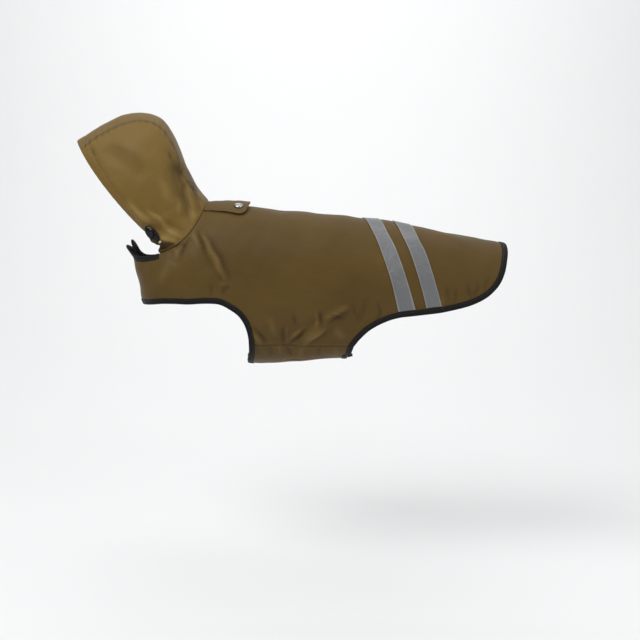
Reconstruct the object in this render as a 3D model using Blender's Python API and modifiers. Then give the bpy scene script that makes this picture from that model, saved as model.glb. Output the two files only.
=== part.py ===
"""Hooded dog shell jacket, worn and hollow: back panel with wrapped fronts, belly straps,
three-piece hood, fold-over bindings, two reflective tapes, neck tab with snap, cord locks.

Frame: +X runs to the tail, +Z up, the dog's left side at -Y. The origin lies on the inner
face of the back panel, on the centre line at the withers, where the wearer holds the coat up.
Sizes in the tables are millimetres; MM turns them into metres when a mesh is made.
"""
import math

import bmesh
import bpy
import numpy as np
from mathutils import Vector, geometry

MM = 0.001
CLOSE = 1e-6

# ---------------------------------------------------------------- driving sizes, in millimetres
CLOTH = 1.2            # wall of the shell cloth
SEAM_GAP = 0.3         # space between pieces that touch
TAPE_WALL = 1.0        # wall of the reflective tape
BINDING_WALL = 1.0     # wall of the fold-over binding
BINDING_WIDTH = 8.0    # how far the binding reaches in from the edge
BINDING_START = 0.6    # share of one edge step that keeps the binding clear of the hood's corner
LAP_LIFT = 4.6         # how far an outer front or strap end lies off the one under it
CORNER_FLARE = 5.5     # how far the left front's top corner leans out, for one ring above the neck
CORNER_DROP = 8.0      # and how far it sags
LAP_FROM = 125.0       # girth angle where the left front starts to lift off, degrees
LAP_OVER = 35.0        # and over how many degrees it does so
TURN_FROM = 140.0      # girth angle where its corner starts to turn out, degrees
TURN_SOFTNESS = 0.35   # larger turns the corner out more gently above the neck seam
GRID = 11.5            # spacing of the points on the back panel
EDGE_STEP = 11.0       # spacing of the points along cut edges
CORNER_STEP = 6.5      # and round the fronts' neckline and standing corners
GIRTH_SCALE = 62.0     # millimetres of flat pattern for one radian of girth
HEX_ROW = 0.866        # rows of points lie this share of GRID apart
FILL_CLEARANCE = 0.62  # share of GRID kept between those points and the edges' own points
SEAM_CLEARANCE = 9.6   # and between the belly seam's points and the bindings' corners
DENSE_STEPS = 600      # steps in which a smooth line is measured
HOOD_FOOT_ANGLE = 116.5   # girth angle, degrees, where the hood's front corner meets the neck
HOOD_COLUMNS = 21      # points from face edge to neck seam
HOOD_SIDE_ROWS = 11     # points down a hood side
CROWN_HALF_ROWS = 3    # points from the crown's centre line to its seam

# Rings of the general figure that the coat hangs on, neck to rump. A ring runs from its top
# point to its foot point; bow pushes its middle towards the tail, egg makes it wider above
# the middle, and full makes its top and foot blunter.
TORSO_COLUMNS = ("top_x", "top_z", "foot_x", "foot_z", "half_width", "bow", "egg", "full")
TORSO_RINGS = (
    (-56.0, 14.0, -162.0, -57.0, 52.0, 30.0, 0.00, 0.05),    # throat, above the neckline
    (-42.0, 2.8, -155.5, -82.0, 58.0, 28.0, 0.00, 0.05),     # neck seam
    (-24.0, 1.4, -152.0, -105.0, 66.0, 24.0, 0.00, 0.08),
    (-7.0, 0.4, -146.0, -128.0, 71.0, 17.0, 0.00, 0.12),
    (8.0, -1.2, -140.5, -152.5, 74.5, 11.0, 0.00, 0.15),     # foot of the fronts
    (20.0, -3.0, -112.0, -186.0, 76.5, 6.0, 0.00, 0.18),
    (34.0, -5.0, -57.0, -221.0, 78.0, 2.0, 0.00, 0.20),
    (50.0, -6.8, 8.0, -243.5, 78.5, 0.0, 0.00, 0.22),
    (75.0, -9.3, 60.0, -246.5, 79.0, 0.0, 0.00, 0.22),       # girth behind the front legs
    (105.0, -12.2, 101.0, -244.5, 79.0, 0.0, 0.00, 0.22),
    (140.0, -15.4, 140.0, -241.5, 79.0, 0.0, 0.00, 0.22),
    (175.0, -18.8, 176.0, -238.5, 79.0, 0.0, 0.00, 0.22),
    (210.0, -22.4, 212.0, -236.0, 79.0, 0.0, 0.00, 0.20),    # loin
    (250.0, -27.4, 252.0, -228.0, 78.5, 0.0, 0.02, 0.20),
    (295.0, -36.4, 296.0, -221.0, 77.5, 0.0, 0.02, 0.20),
    (340.0, -45.2, 340.0, -217.0, 75.5, 0.0, 0.02, 0.20),    # hips
    (385.0, -53.8, 383.0, -216.0, 72.0, 0.0, 0.02, 0.20),
    (425.0, -61.8, 417.0, -216.0, 66.0, 0.0, 0.02, 0.20),    # rump
    (458.0, -69.0, 446.0, -216.0, 58.0, 0.0, 0.02, 0.20),
)
FIRST_RING = -1        # ring number of the table's first row; the neck seam is ring 0

# Neckline and front edge of one front, as ring number and girth angle. Past 180 degrees the
# front has crossed the centre line and laps the other one.
FRONT_EDGE = (
    (0.00, 116.5), (0.00, 132.0), (-0.02, 146.0), (-0.12, 156.0), (-0.40, 163.5),
    (-0.74, 167.5), (-0.97, 173.0), (-1.05, 181.0), (-0.97, 189.0), (-0.74, 194.5),
    (-0.30, 197.0), (0.40, 197.5), (1.20, 197.5), (2.00, 197.5), (2.55, 195.5),
    (2.88, 190.5), (3.00, 183.0),
)

# Cut edges seen from the side, front to back: x along the back, z up.
FRONT_HEM_AND_LEG = (
    (-133.0, -153.0), (-114.0, -152.2), (-93.0, -152.0), (-66.8, -152.2), (-46.0, -151.0),
    (-28.0, -150.8), (-15.0, -152.8), (-1.9, -159.6), (10.5, -168.8), (19.3, -181.1),
    (24.2, -194.2), (26.6, -206.0), (27.0, -214.5),
)
STRAP_SEAM = ((27.0, -214.5), (71.4, -215.8), (115.2, -217.0), (150.0, -217.4), (187.5, -217.0))
REAR_CUT = (
    (187.5, -217.0), (194.5, -208.5), (203.5, -199.4), (214.0, -190.8), (233.1, -180.4),
    (255.0, -173.0), (286.9, -169.0), (321.5, -164.4), (354.0, -157.6), (378.5, -148.8),
    (396.5, -137.6), (409.8, -123.2), (417.7, -106.8), (422.6, -88.8), (426.3, -73.5),
    (428.0, -62.5),
)
STRAP_FRONT_EDGE = ((27.0, -214.9), (26.9, -223.0), (25.5, -234.0))
STRAP_REAR_EDGE = ((181.5, -234.0), (184.3, -226.0), (187.2, -217.6))
STRAP_RINGS = (6.25, 10.06)       # rings that the strap follows under the belly
STRAP_END_ANGLE = 206.0           # how far round a strap reaches, degrees
STRAP_ACROSS = 11                 # points across a strap between its bindings
STRAP_SEAM_POINTS = 60            # points in which the belly seam's curve is read
STRAP_SEAM_GAP = 0.4              # from the belly seam to the strap's upper edge
STRAP_SEAM_FADE = 3               # the strap's rows straighten over this fraction of its length

# Reflective tapes, seen from the side: the two edges of each from the ridge to the hem.
TAPE_END_GAP = 1.4               # from a tape's end to the hem's binding
TAPE_EDGES = {
    "reflective_tape_front": (
        ((203.0, -22.0), (212.5, -35.0), (222.4, -55.1), (232.6, -82.2), (243.4, -115.4),
         (250.5, -143.0), (257.5, -172.5)),
        ((228.5, -25.0), (237.0, -39.5), (247.5, -59.5), (257.8, -86.0), (268.2, -116.5),
         (276.0, -141.0), (284.5, -169.0))),
    "reflective_tape_rear": (
        ((250.5, -27.6), (260.0, -44.0), (269.5, -65.5), (279.3, -92.5), (288.0, -120.0),
         (294.5, -143.0), (301.0, -168.0)),
        ((276.0, -32.7), (285.0, -50.5), (295.5, -72.0), (304.8, -98.5), (313.0, -125.0),
         (318.8, -145.0), (325.0, -166.0))),
}

# Hood rings, face edge to neck. A ring runs from the crown's centre line down to the front
# corner; crown_half is the crown strip's half width along the ring.
HOOD_RING_COLUMNS = ("top_x", "top_z", "foot_x", "foot_z", "half_width", "bow", "crown_half")
HOOD_RINGS = (
    (-245.5, 99.5, -115.0, -58.0, 52.0, -8.0, 31.0),         # face edge
    (-222.0, 115.2, -114.8, -59.6, 57.0, -7.0, 33.0),
    (-196.0, 128.0, -114.6, -61.4, 59.5, -5.0, 34.0),
    (-170.0, 139.2, -114.4, -63.2, 61.0, -3.0, 34.0),
    (-142.0, 142.0, -114.2, -65.0, 61.0, 0.0, 33.0),
    (-113.0, 131.5, -114.0, -66.8, 60.0, 3.0, 32.0),         # back of the crown
    (-92.5, 103.0, -113.8, -68.6, 59.0, 6.0, 31.0),
    (-79.0, 66.0, -113.6, -70.4, 58.0, 9.0, 30.0),
    (-60.5, 30.0, -113.4, -72.4, 57.5, 13.0, 28.0),
)
HOOD_RISE = 1.5                  # how far the hood's lower edge stands up on the neck seam
HOOD_CORNER_OFF = 2.0            # further off it at the hood's front corners
HOOD_CORNER_POWER = 8            # and how near to the corners that starts
HOOD_MIDDLE_X = -110.0           # a place inside the hood
FACE_EDGE_CALM = (8, 0.3)        # rate and start of the folds behind the face edge
SEAM_CALM = 6                    # rate at which the folds die out at the neck seam
HOOD_FOOT_DEPTH = 51.5           # half the space between the hood's front corners
CROWN_HALF_AT_NECK = 25.0
HOOD_SHARE_GAP = 0.001           # half the seam gap, as a share of a hood ring
HOOD_PLACES = np.linspace(0, 1, HOOD_COLUMNS)

# Largest folds. A row is a line seen from the side, from one end to the other; the cloth
# stands out by height (in, where negative) over width on each side of it.
FOLD_COLUMNS = ("x0", "z0", "x1", "z1", "width", "height")
BODY_FOLDS_LEFT = (
    (-46.0, -44.0, -6.0, -112.0, 8.0, 3.4),        # from the neck seam down the shoulder
    (-58.0, -50.0, -26.0, -104.0, 8.0, -2.6),
    (-76.0, -62.0, -88.0, -92.0, 8.0, -2.4),
    (176.0, -160.0, 96.0, -212.0, 9.0, 3.6),       # pulled up from the belly seam
    (150.0, -168.0, 88.0, -206.0, 8.0, -3.0),
    (122.0, -166.0, 112.0, -196.0, 7.0, 2.2),
    (70.0, -168.0, 66.0, -206.0, 7.0, -2.0),
    (52.0, -176.0, 40.0, -208.0, 7.0, 1.8),
)
BODY_FOLDS_RIGHT = (
    (-46.0, -46.0, -8.0, -110.0, 10.0, 2.2),
    (-70.0, -66.0, -40.0, -118.0, 8.0, -2.0),
    (164.0, -156.0, 84.0, -210.0, 10.0, 3.2),
    (138.0, -172.0, 96.0, -208.0, 8.0, -2.6),
    (60.0, -170.0, 48.0, -208.0, 8.0, 2.0),
)
HOOD_FOLDS_LEFT = (
    (-88.0, 62.0, -62.0, -26.0, 10.0, -7.5),       # large fold down the back of the neck
    (-196.0, 82.0, -132.0, 40.0, 12.0, -2.6),      # soft trough across the side
    (-124.0, -52.0, -78.0, -52.0, 9.0, 5.5),       # roll above the neck seam
    (-140.0, -28.0, -92.0, -26.0, 9.0, 2.4),
)
HOOD_FOLDS_RIGHT = (
    (-88.0, 54.0, -66.0, -26.0, 12.0, -6.0),
    (-186.0, 74.0, -140.0, 30.0, 13.0, -2.4),
    (-124.0, -54.0, -74.0, -46.0, 9.0, 4.0),
)
FOLD_SIDE_REACH = 20.0           # a side's folds fade out this far from the centre line
FOLD_END_RATE = 4.0              # how fast a fold tapers at its ends
FOLD_END_SHARE = 0.4

# Neck tab over the back: length from the neck seam, half width, and how far its far and near
# edges stand off the back.
TAB_COLUMNS = ("along", "half_width", "far_lift", "near_lift")
TAB_ROWS = (
    (1.2, 18.3, 0.7, 0.6), (12.0, 18.7, 1.6, 0.8), (24.0, 19.0, 2.6, 1.1), (36.0, 19.1, 3.5, 1.5),
    (48.0, 19.0, 4.5, 2.0), (59.0, 18.8, 5.5, 2.4), (65.0, 16.8, 5.9, 2.7), (68.0, 12.0, 6.1, 3.3),
)
TAB_CENTRE_DEGREES = -17.5       # girth angle of the tab's centre line, a little to the left
TAB_GIRTH_RADIUS = 70.0          # millimetres across the back for one radian of girth
TAB_START_X = -42.0              # where it leaves the neck seam
TAB_LAST_RING = 6.0              # a ring past the tab's end
TAB_ACROSS = 7                   # points across the tab
TAB_WALL = 1.6                   # two layers of cloth
SNAP_ALONG = 55.0                # from the neck seam to the snap's centre
SNAP_ACROSS = 0.25               # and from the tab's centre line, towards its near edge
SNAP_CAP = ((0.0, 2.6), (3.4, 2.4), (5.6, 1.8), (6.9, 0.8), (7.2, 0.0), (0.0, 0.0))
SNAP_STUD_FLANGE = (7.0, 0.9)    # radius and height of its seat on the back
SNAP_STUD_POST_RADIUS = 4.6
STUD_SEAT_GAP = 0.45             # between the stud's seat and the back
STUD_TOP_GAP = 0.75              # between its post and the tab, which slopes over it
TURN_STEPS = 20

LOCK_PLACE = 0.41                # cord lock's centre on the hood, face edge 0 to neck 1
LOCK_SHARE = 0.918               # and down the ring, crown 0 to front corner 1
LOCK_LONG_WAY = (0.71, 0.0, -0.70)   # the way its long side lies, down the face edge
LOCK_HALF_LENGTH = 14.5
LOCK_HALF_WIDTH = 8.5
LOCK_HALF_HEIGHT = 4.4
LOCK_BUTTON = ((0.0, 1.6), (3.4, 1.5), (4.4, 0.8), (4.6, 0.0), (0.0, 0.0))
LOCK_OFF_CLOTH = 0.9             # clear of the hood's curve under the lock
LOCK_ROUNDNESS = 0.8             # below 1, the lock's outline is blunter than an ellipsoid
LOCK_BANDS = 12                  # bands of faces from its top to its underside
KNOT_RADIUS = 2.6                # knot that ends the drawcord below the lock

COLOURS = {
    "shell_cloth": ((0.108, 0.069, 0.024), 0.5, 0.0),
    "hood_cloth": ((0.185, 0.112, 0.036), 0.45, 0.0),
    "binding": ((0.012, 0.012, 0.012), 0.7, 0.0),
    "tape": ((0.30, 0.30, 0.31), 0.4, 0.1),
    "metal": ((0.75, 0.75, 0.74), 0.25, 1.0),
    "plastic": ((0.01, 0.01, 0.011), 0.2, 0.0),
}


# ---------------------------------------------------------------- smooth tables and rings
def smooth_between(value_at, place, last):
    """Smooth curve through values numbered 0 to last, read at any number."""
    row = np.clip(np.floor(place).astype(int), 0, last - 1)
    before, after = np.maximum(row - 1, 0), np.minimum(row + 2, last)
    start, end = value_at(row), value_at(row + 1)
    widen = (...,) + (None,) * (start.ndim - row.ndim)
    slope_start = (end - value_at(before)) / (row + 1 - before)[widen]
    slope_end = (value_at(after) - start) / (after - row)[widen]
    part = (place - row)[widen]
    square, cube = part ** 2, part ** 3
    return ((2 * cube - 3 * square + 1) * start + (cube - 2 * square + part) * slope_start
            + (3 * square - 2 * cube) * end + (cube - square) * slope_end)


def track(values, place):
    """Smooth curve through evenly numbered table values, read at any row number."""
    values = np.asarray(values, float)
    last = len(values) - 1
    return smooth_between(values.__getitem__, np.clip(place, -0.5, last + 0.5), last)


def run_along(points):
    """Distance from the first point to each point along a line of points."""
    return np.concatenate([[0.0], np.cumsum(np.linalg.norm(np.diff(points, axis=0), axis=1))])


def read_rows(rows, run, places):
    """Columns of rows, numbered by their run, read at other places along it."""
    return np.stack([np.interp(places, run, rows[:, i]) for i in range(rows.shape[1])], axis=-1)


def smooth_step(value):
    value = np.clip(value, 0.0, 1.0)
    return value * value * (3 - 2 * value)


def torso_values(ring):
    """All columns of the torso table at any ring number, as a dictionary."""
    rows = track(TORSO_RINGS, np.asarray(ring, float) - FIRST_RING)
    return {name: rows[..., i] for i, name in enumerate(TORSO_COLUMNS)}


def torso_point(ring, girth):
    """Point on the bare figure; girth is the signed angle from the ridge, left negative."""
    t = torso_values(ring)
    fraction = (1 - np.cos(girth)) / 2
    chord_x, chord_z = t["foot_x"] - t["top_x"], t["foot_z"] - t["top_z"]
    length = np.hypot(chord_x, chord_z)
    push = 4 * fraction * (1 - fraction) * t["bow"] / length
    across = t["half_width"] * np.sin(girth) * (1 + t["egg"] * np.cos(girth))
    across = across * (1 + t["full"] * np.cos(girth) ** 2)
    return np.stack([t["top_x"] + fraction * chord_x - push * chord_z, across,
                     t["top_z"] + fraction * chord_z + push * chord_x], axis=-1)


def normals_of(surface, u, v, step=0.004):
    """Unit normals of a surface function of two numbers, pointing out of the coat."""
    along_u = surface(u + step, v) - surface(u - step, v)
    along_v = surface(u, v + step) - surface(u, v - step)
    normal = np.cross(along_u, along_v)
    return normal / np.linalg.norm(normal, axis=-1, keepdims=True)


def fold_height(point, folds_left, folds_right):
    """Height of the large folds at points of the bare surface."""
    height = np.zeros(point.shape[:-1])
    for folds, side in ((folds_left, -1), (folds_right, 1)):
        on_side = smooth_step(side * point[..., 1] / FOLD_SIDE_REACH)
        for row in folds:
            fold = dict(zip(FOLD_COLUMNS, row))
            line = np.array([fold["x1"] - fold["x0"], fold["z1"] - fold["z0"]])
            length = np.hypot(*line)
            line = line / length
            dx, dz = point[..., 0] - fold["x0"], point[..., 2] - fold["z0"]
            along = (dx * line[0] + dz * line[1]) / length
            off = (dz * line[0] - dx * line[1]) / fold["width"]
            taper = smooth_step(along * FOLD_END_RATE + FOLD_END_SHARE)
            taper = taper * smooth_step((1 - along) * FOLD_END_RATE + FOLD_END_SHARE)
            height = height + on_side * fold["height"] * taper * np.exp(-off ** 2)
    return height


def lap_lift(ring, girth):
    """How far the left front and strap end lie off the right ones, and how far its corner turns."""
    degrees = np.degrees(-girth)
    near_lap = smooth_step((degrees - LAP_FROM) / LAP_OVER)
    above = np.clip(-ring, 0, 2)
    turned = smooth_step((degrees - TURN_FROM) / LAP_OVER) * above ** 2 / (above + TURN_SOFTNESS)
    return near_lap * LAP_LIFT + turned * CORNER_FLARE, turned


def body_surface(ring, girth):
    """Inner face of the coat's body at ring number and signed girth angle."""
    ring, girth = np.broadcast_arrays(np.asarray(ring, float), np.asarray(girth, float))
    point = torso_point(ring, girth)
    normal = normals_of(torso_point, ring, girth)
    lift, turned = lap_lift(ring, girth)
    lift = lift + fold_height(point, BODY_FOLDS_LEFT, BODY_FOLDS_RIGHT)
    return point + normal * lift[..., None] - turned[..., None] * np.array([0.0, 0.0, CORNER_DROP])


def on_torso(side_points):
    """Ring number and girth angle of points given by x and z as seen from the side."""
    rings = np.linspace(FIRST_RING, FIRST_RING + len(TORSO_RINGS) - 1, 1801)
    t = torso_values(rings)
    chord_x, chord_z = t["foot_x"] - t["top_x"], t["foot_z"] - t["top_z"]
    length = np.hypot(chord_x, chord_z)
    found = []
    for x, z in side_points:
        dx, dz = x - t["top_x"], z - t["top_z"]
        fraction = (dx * chord_x + dz * chord_z) / length ** 2
        off = (dz * chord_x - dx * chord_z) / length
        miss = off - 4 * fraction * (1 - fraction) * t["bow"]
        turns = np.nonzero((miss[:-1] < 0) != (miss[1:] < 0))[0]
        turn = turns[-1]
        share = miss[turn] / (miss[turn] - miss[turn + 1])
        ring = rings[turn] + share * (rings[turn + 1] - rings[turn])
        part = fraction[turn] + share * (fraction[turn + 1] - fraction[turn])
        found.append((ring, math.acos(min(1.0, max(-1.0, 1 - 2 * part)))))
    return np.array(found)


# ---------------------------------------------------------------- flat pattern of the body
RING_NUMBERS = np.arange(len(TORSO_RINGS)) + FIRST_RING
SIDE_GIRTH = 1.7       # girth angle, radians, at which the rings' spacing is measured
RING_PLACES = run_along(torso_point(RING_NUMBERS.astype(float), np.full(len(TORSO_RINGS), SIDE_GIRTH)))


def to_flat(ring_girth):
    """Ring and girth to flat-pattern millimetres."""
    ring_girth = np.asarray(ring_girth, float)
    return np.stack([np.interp(ring_girth[..., 0], RING_NUMBERS, RING_PLACES),
                     ring_girth[..., 1] * GIRTH_SCALE], axis=-1)


def from_flat(flat):
    flat = np.asarray(flat, float)
    return np.stack([np.interp(flat[..., 0], RING_PLACES, RING_NUMBERS),
                     flat[..., 1] / GIRTH_SCALE], axis=-1)


def dense_line(rows):
    """Many points along a smooth line through rows, and their run on the coat."""
    dense = track(rows, np.linspace(0, len(rows) - 1, DENSE_STEPS))
    return dense, run_along(body_surface(dense[:, 0], dense[:, 1]))


def even_points(rows, step):
    """Points about one step apart, measured on the coat, along a smooth line through rows."""
    dense, run = dense_line(rows)
    count = max(2, int(round(run[-1] / step)) + 1)
    return read_rows(dense, run, np.linspace(0, run[-1], count))


def even_count(rows, count):
    """A given number of points along a smooth line, evenly spaced on the coat."""
    dense, run = dense_line(rows)
    return read_rows(dense, run, np.linspace(0, run[-1], count))


def inset_points(edge, width):
    """The right-hand edge's points moved in along the cloth, and the way out of the cloth."""
    point = body_surface(edge[:, 0], edge[:, 1])
    normal = normals_of(body_surface, edge[:, 0], edge[:, 1])
    run = np.gradient(point, axis=0)
    inward = np.cross(run, normal)
    inward /= np.linalg.norm(inward, axis=1, keepdims=True)
    step = 0.01
    moved = []
    for i, (ring, girth) in enumerate(edge):
        along_ring = (body_surface(ring + step, girth) - body_surface(ring - step, girth)) / (2 * step)
        along_girth = (body_surface(ring, girth + step) - body_surface(ring, girth - step)) / (2 * step)
        jacobian = np.stack([along_ring, along_girth], axis=1)
        moved.append(edge[i] + np.linalg.lstsq(jacobian, inward[i] * width, rcond=None)[0])
    return np.array(moved), -inward


def inside(polygon, points):
    """Which flat points lie inside a closed flat polygon."""
    x, y = points[:, 0:1], points[:, 1:2]
    x0, y0 = polygon[:, 0], polygon[:, 1]
    x1, y1 = np.roll(x0, -1), np.roll(y0, -1)
    crosses = (y0 > y) != (y1 > y)
    rise = np.where(y1 == y0, 1.0, y1 - y0)
    hits = crosses & (x < (x1 - x0) * (y - y0) / rise + x0)
    return hits.sum(axis=1) % 2 == 1


# ---------------------------------------------------------------- making objects
def clear_scene():
    for thing in list(bpy.data.objects):
        bpy.data.objects.remove(thing, do_unlink=True)


def make_material(name):
    colour, roughness, metallic = COLOURS[name]
    material = bpy.data.materials.new(name)
    material.use_nodes = True
    shader = material.node_tree.nodes["Principled BSDF"]
    shader.inputs["Base Color"].default_value = (*colour, 1.0)
    shader.inputs["Roughness"].default_value = roughness
    shader.inputs["Metallic"].default_value = metallic
    return material


def make_object(name, points, faces, material):
    """An object from points in millimetres and faces."""
    mesh = bpy.data.meshes.new(name)
    mesh.from_pydata([tuple(p) for p in np.asarray(points) * MM], [], [tuple(f) for f in faces])
    mesh.materials.append(MATERIALS[material])
    mesh.shade_smooth()
    thing = bpy.data.objects.new(name, mesh)
    COAT.objects.link(thing)
    return thing


def give_wall(thing, wall, even=False):
    """Thicken an open sheet outwards, away from the wearer."""
    solidify = thing.modifiers.new("wall", "SOLIDIFY")
    solidify.thickness = wall * MM
    solidify.offset = 1.0
    solidify.use_even_offset = even
    return thing


def grid_faces(columns, rows):
    """Quads of a grid whose points run row by row."""
    return [(i * rows + j, (i + 1) * rows + j, (i + 1) * rows + j + 1, i * rows + j + 1)
            for i in range(columns - 1) for j in range(rows - 1)]


def face_outwards(points, faces, normals):
    """Faces that all wind one way, turned together to agree with the given point normals."""
    faces = [tuple(int(i) for i in face) for face in faces]
    agree = 0.0
    for face in faces:
        corner = [points[i] for i in face[:3]]
        agree += np.dot(np.cross(corner[1] - corner[0], corner[2] - corner[0]), normals[face[0]])
    return faces if agree > 0 else [tuple(reversed(face)) for face in faces]


# ---------------------------------------------------------------- cut edges
def signed(points, side):
    """Left-hand ring and girth points on the chosen side: -1 left, 1 right."""
    return points * np.array([1.0, side])


def body_edges():
    """One half's cut edges in order from the hood's corner to the top of the rump."""
    front = np.array([(ring, math.radians(degrees)) for ring, degrees in FRONT_EDGE])
    hem = on_torso(FRONT_HEM_AND_LEG)
    corner = even_points(front, CORNER_STEP)
    bound_front = np.concatenate([corner[:-1], even_points(np.concatenate([front[-1:], hem]), EDGE_STEP)])
    seam = even_points(on_torso(STRAP_SEAM), EDGE_STEP)
    rear = on_torso(REAR_CUT)
    rear[-1, 1] = 0.0
    return bound_front, seam, even_points(rear, EDGE_STEP)


def strap_edges():
    """The right strap's front edge down from the seam, and its rear edge back up to it."""
    first, last = STRAP_RINGS
    under = [math.radians(degrees) for degrees in (160.0, 180.0, STRAP_END_ANGLE)]
    front = np.concatenate([on_torso(STRAP_FRONT_EDGE), [(first, girth) for girth in under]])
    rear = np.concatenate([[(last, girth) for girth in reversed(under)], on_torso(STRAP_REAR_EDGE)])
    return even_points(front, EDGE_STEP), even_points(rear, EDGE_STEP)


# ---------------------------------------------------------------- hood
def hood_ring(row, share):
    """Points on one hood ring at signed shares 0 at the crown to 1 at the front corner."""
    ring = dict(zip(HOOD_RING_COLUMNS, row))
    last = math.pi - math.asin(HOOD_FOOT_DEPTH / ring["half_width"])
    angle = np.abs(share) * last
    fraction = (1 - np.cos(angle)) / (1 - math.cos(last))
    chord_x, chord_z = ring["foot_x"] - ring["top_x"], ring["foot_z"] - ring["top_z"]
    push = 4 * fraction * (1 - fraction) * ring["bow"] / math.hypot(chord_x, chord_z)
    return np.stack([ring["top_x"] + fraction * chord_x - push * chord_z,
                     np.sign(share) * ring["half_width"] * np.sin(angle),
                     ring["top_z"] + fraction * chord_z + push * chord_x], axis=-1)


def neck_ring(share):
    """The neck seam's curve, moved off the body's edge so that the walls clear each other."""
    girth = share * math.radians(HOOD_FOOT_ANGLE)
    zero = np.zeros_like(girth)
    point = torso_point(zero, girth)
    back = torso_point(zero + 0.05, girth) - point
    back /= np.linalg.norm(back, axis=-1, keepdims=True)
    off = SEAM_GAP + HOOD_CORNER_OFF * np.abs(share) ** HOOD_CORNER_POWER
    return point - back * off[..., None] + normals_of(torso_point, zero, girth) * HOOD_RISE


def hood_bare(place, share):
    """Bare hood surface: place 0 at the face edge to 1 at the neck seam."""
    place, share = np.broadcast_arrays(np.asarray(place, float), np.asarray(share, float))
    rings = np.stack([hood_ring(row, share) for row in HOOD_RINGS] + [neck_ring(share)])

    def ring_at(number):
        return np.take_along_axis(rings, number[None, ..., None], axis=0)[0]

    last = len(rings) - 1
    return smooth_between(ring_at, place * last, last)


def hood_surface(place, share):
    place, share = np.broadcast_arrays(np.asarray(place, float), np.asarray(share, float))
    point = hood_bare(place, share)
    normal = normals_of(hood_bare, place, share)
    height = fold_height(point, HOOD_FOLDS_LEFT, HOOD_FOLDS_RIGHT)
    rate, start = FACE_EDGE_CALM
    height = height * smooth_step((1 - place) * SEAM_CALM) * smooth_step(place * rate + start)
    return point + normal * height[..., None]


def crown_share(place):
    """Ring share of the crown strip's seam at each place along the hood."""
    halves = [row[-1] for row in HOOD_RINGS] + [CROWN_HALF_AT_NECK]
    wanted = track(halves, np.asarray(place) * (len(halves) - 1))
    shares = np.linspace(0, 0.6, 61)
    return np.array([np.interp(half, run_along(hood_bare(spot, shares)), shares)
                     for spot, half in zip(place, wanted)])


def side_shares(seam_share):
    """Ring shares of a hood side's points, crown seam to front corner."""
    start = seam_share + HOOD_SHARE_GAP
    return start + (1 - start) * np.linspace(0, 1, HOOD_SIDE_ROWS)


def crown_shares(seam_share):
    return (seam_share - HOOD_SHARE_GAP) * np.linspace(-1, 1, 2 * CROWN_HALF_ROWS + 1)


def make_hood_piece(name, share_rows):
    """A hood piece from its rows of ring shares, one row for each place."""
    places = np.repeat(HOOD_PLACES, share_rows.shape[1])
    shares = share_rows.ravel()
    points = hood_surface(places, shares)
    inner = np.clip(places, 0.01, 0.99)
    normals = normals_of(hood_surface, inner, shares)
    outward = points - np.array([HOOD_MIDDLE_X, 0.0, 0.0])
    if np.mean(np.sum(normals * outward, axis=1)) < 0:
        normals = -normals
    faces = face_outwards(points, grid_faces(HOOD_COLUMNS, share_rows.shape[1]), normals)
    return give_wall(make_object(name, points, faces, "hood_cloth"), CLOTH)


def make_hood():
    seams = crown_share(HOOD_PLACES)
    make_hood_piece("hood_crown", np.stack([crown_shares(s) for s in seams]))
    rows = np.stack([side_shares(s) for s in seams])
    make_hood_piece("hood_side_left", -rows)
    make_hood_piece("hood_side_right", rows)


def neck_seam_girths():
    """Girth angles of the body's points along the neck seam, the same as the hood's."""
    seam = crown_share(np.array([1.0]))[0]
    crown = crown_shares(seam)
    crown[0], crown[-1] = -seam, seam
    side = side_shares(seam)[1:]
    shares = np.concatenate([-side[::-1], crown, side])
    return shares * math.radians(HOOD_FOOT_ANGLE)


# ---------------------------------------------------------------- body panel
class FlatPlan:
    """Points of a flat pattern and the lines that its triangles must follow."""

    def __init__(self):
        self.points = []
        self.lines = []

    def add(self, ring_girth):
        """Points given by ring and girth, joined in a row; returns their numbers."""
        first = len(self.points)
        self.points.extend(to_flat(ring_girth))
        numbers = list(range(first, len(self.points)))
        self.join(numbers)
        return numbers

    def join(self, numbers):
        self.lines.extend(zip(numbers[:-1], numbers[1:]))

    def polygon(self, numbers):
        return np.array([self.points[number] for number in numbers])


def rung_lines(edge, inset):
    """Lines across a bound edge, straight and slanting, as its binding is split."""
    return list(zip(edge, inset)) + list(zip(edge[:-1], inset[1:]))


def plan_half(plan, neck_corner, side):
    """One half's edges and their inset lines, from the hood's corner to beside the tail."""
    bound_front, seam, rear = body_edges()
    front_inset = signed(inset_points(bound_front, BINDING_WIDTH)[0], side)
    rear_inset = signed(inset_points(rear, BINDING_WIDTH)[0][:-1], side)
    front = [neck_corner] + plan.add(signed(bound_front[1:], side))
    plan.join(front[:2])
    ends = to_flat(np.array([front_inset[-1], rear_inset[0]]))
    between = [place for place in signed(seam[1:-1], side)
               if np.linalg.norm(ends - to_flat(place), axis=1).min() > SEAM_CLEARANCE
               and front_inset[-1, 0] < place[0] < rear_inset[0, 0]]
    half = dict(front=front, front_inset=plan.add(front_inset), rear=plan.add(signed(rear[:-1], side)),
                rear_inset=plan.add(rear_inset))
    seam = plan.add(np.array(between))
    half["seam"] = [half["front_inset"][-1]] + seam + [half["rear_inset"][0]]
    plan.join([front[-1]] + half["seam"] + [half["rear"][0]])
    plan.lines += rung_lines(front, half["front_inset"])
    plan.lines += rung_lines(half["rear"], half["rear_inset"])
    return half


def plan_tail(plan, halves):
    """The rear edge's middle, where the two halves meet at the top of the rump."""
    rear = body_edges()[2]
    edge = plan.add(rear[-1:])[0]
    inset = plan.add(inset_points(rear, BINDING_WIDTH)[0][-1:] * [1, 0])[0]
    plan.join([edge, inset])
    for half in halves:
        plan.lines += [(half["rear"][-1], edge), (half["rear"][-1], inset),
                       (half["rear_inset"][-1], inset)]
        half["rear"].append(edge)
        half["rear_inset"].append(inset)


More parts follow.
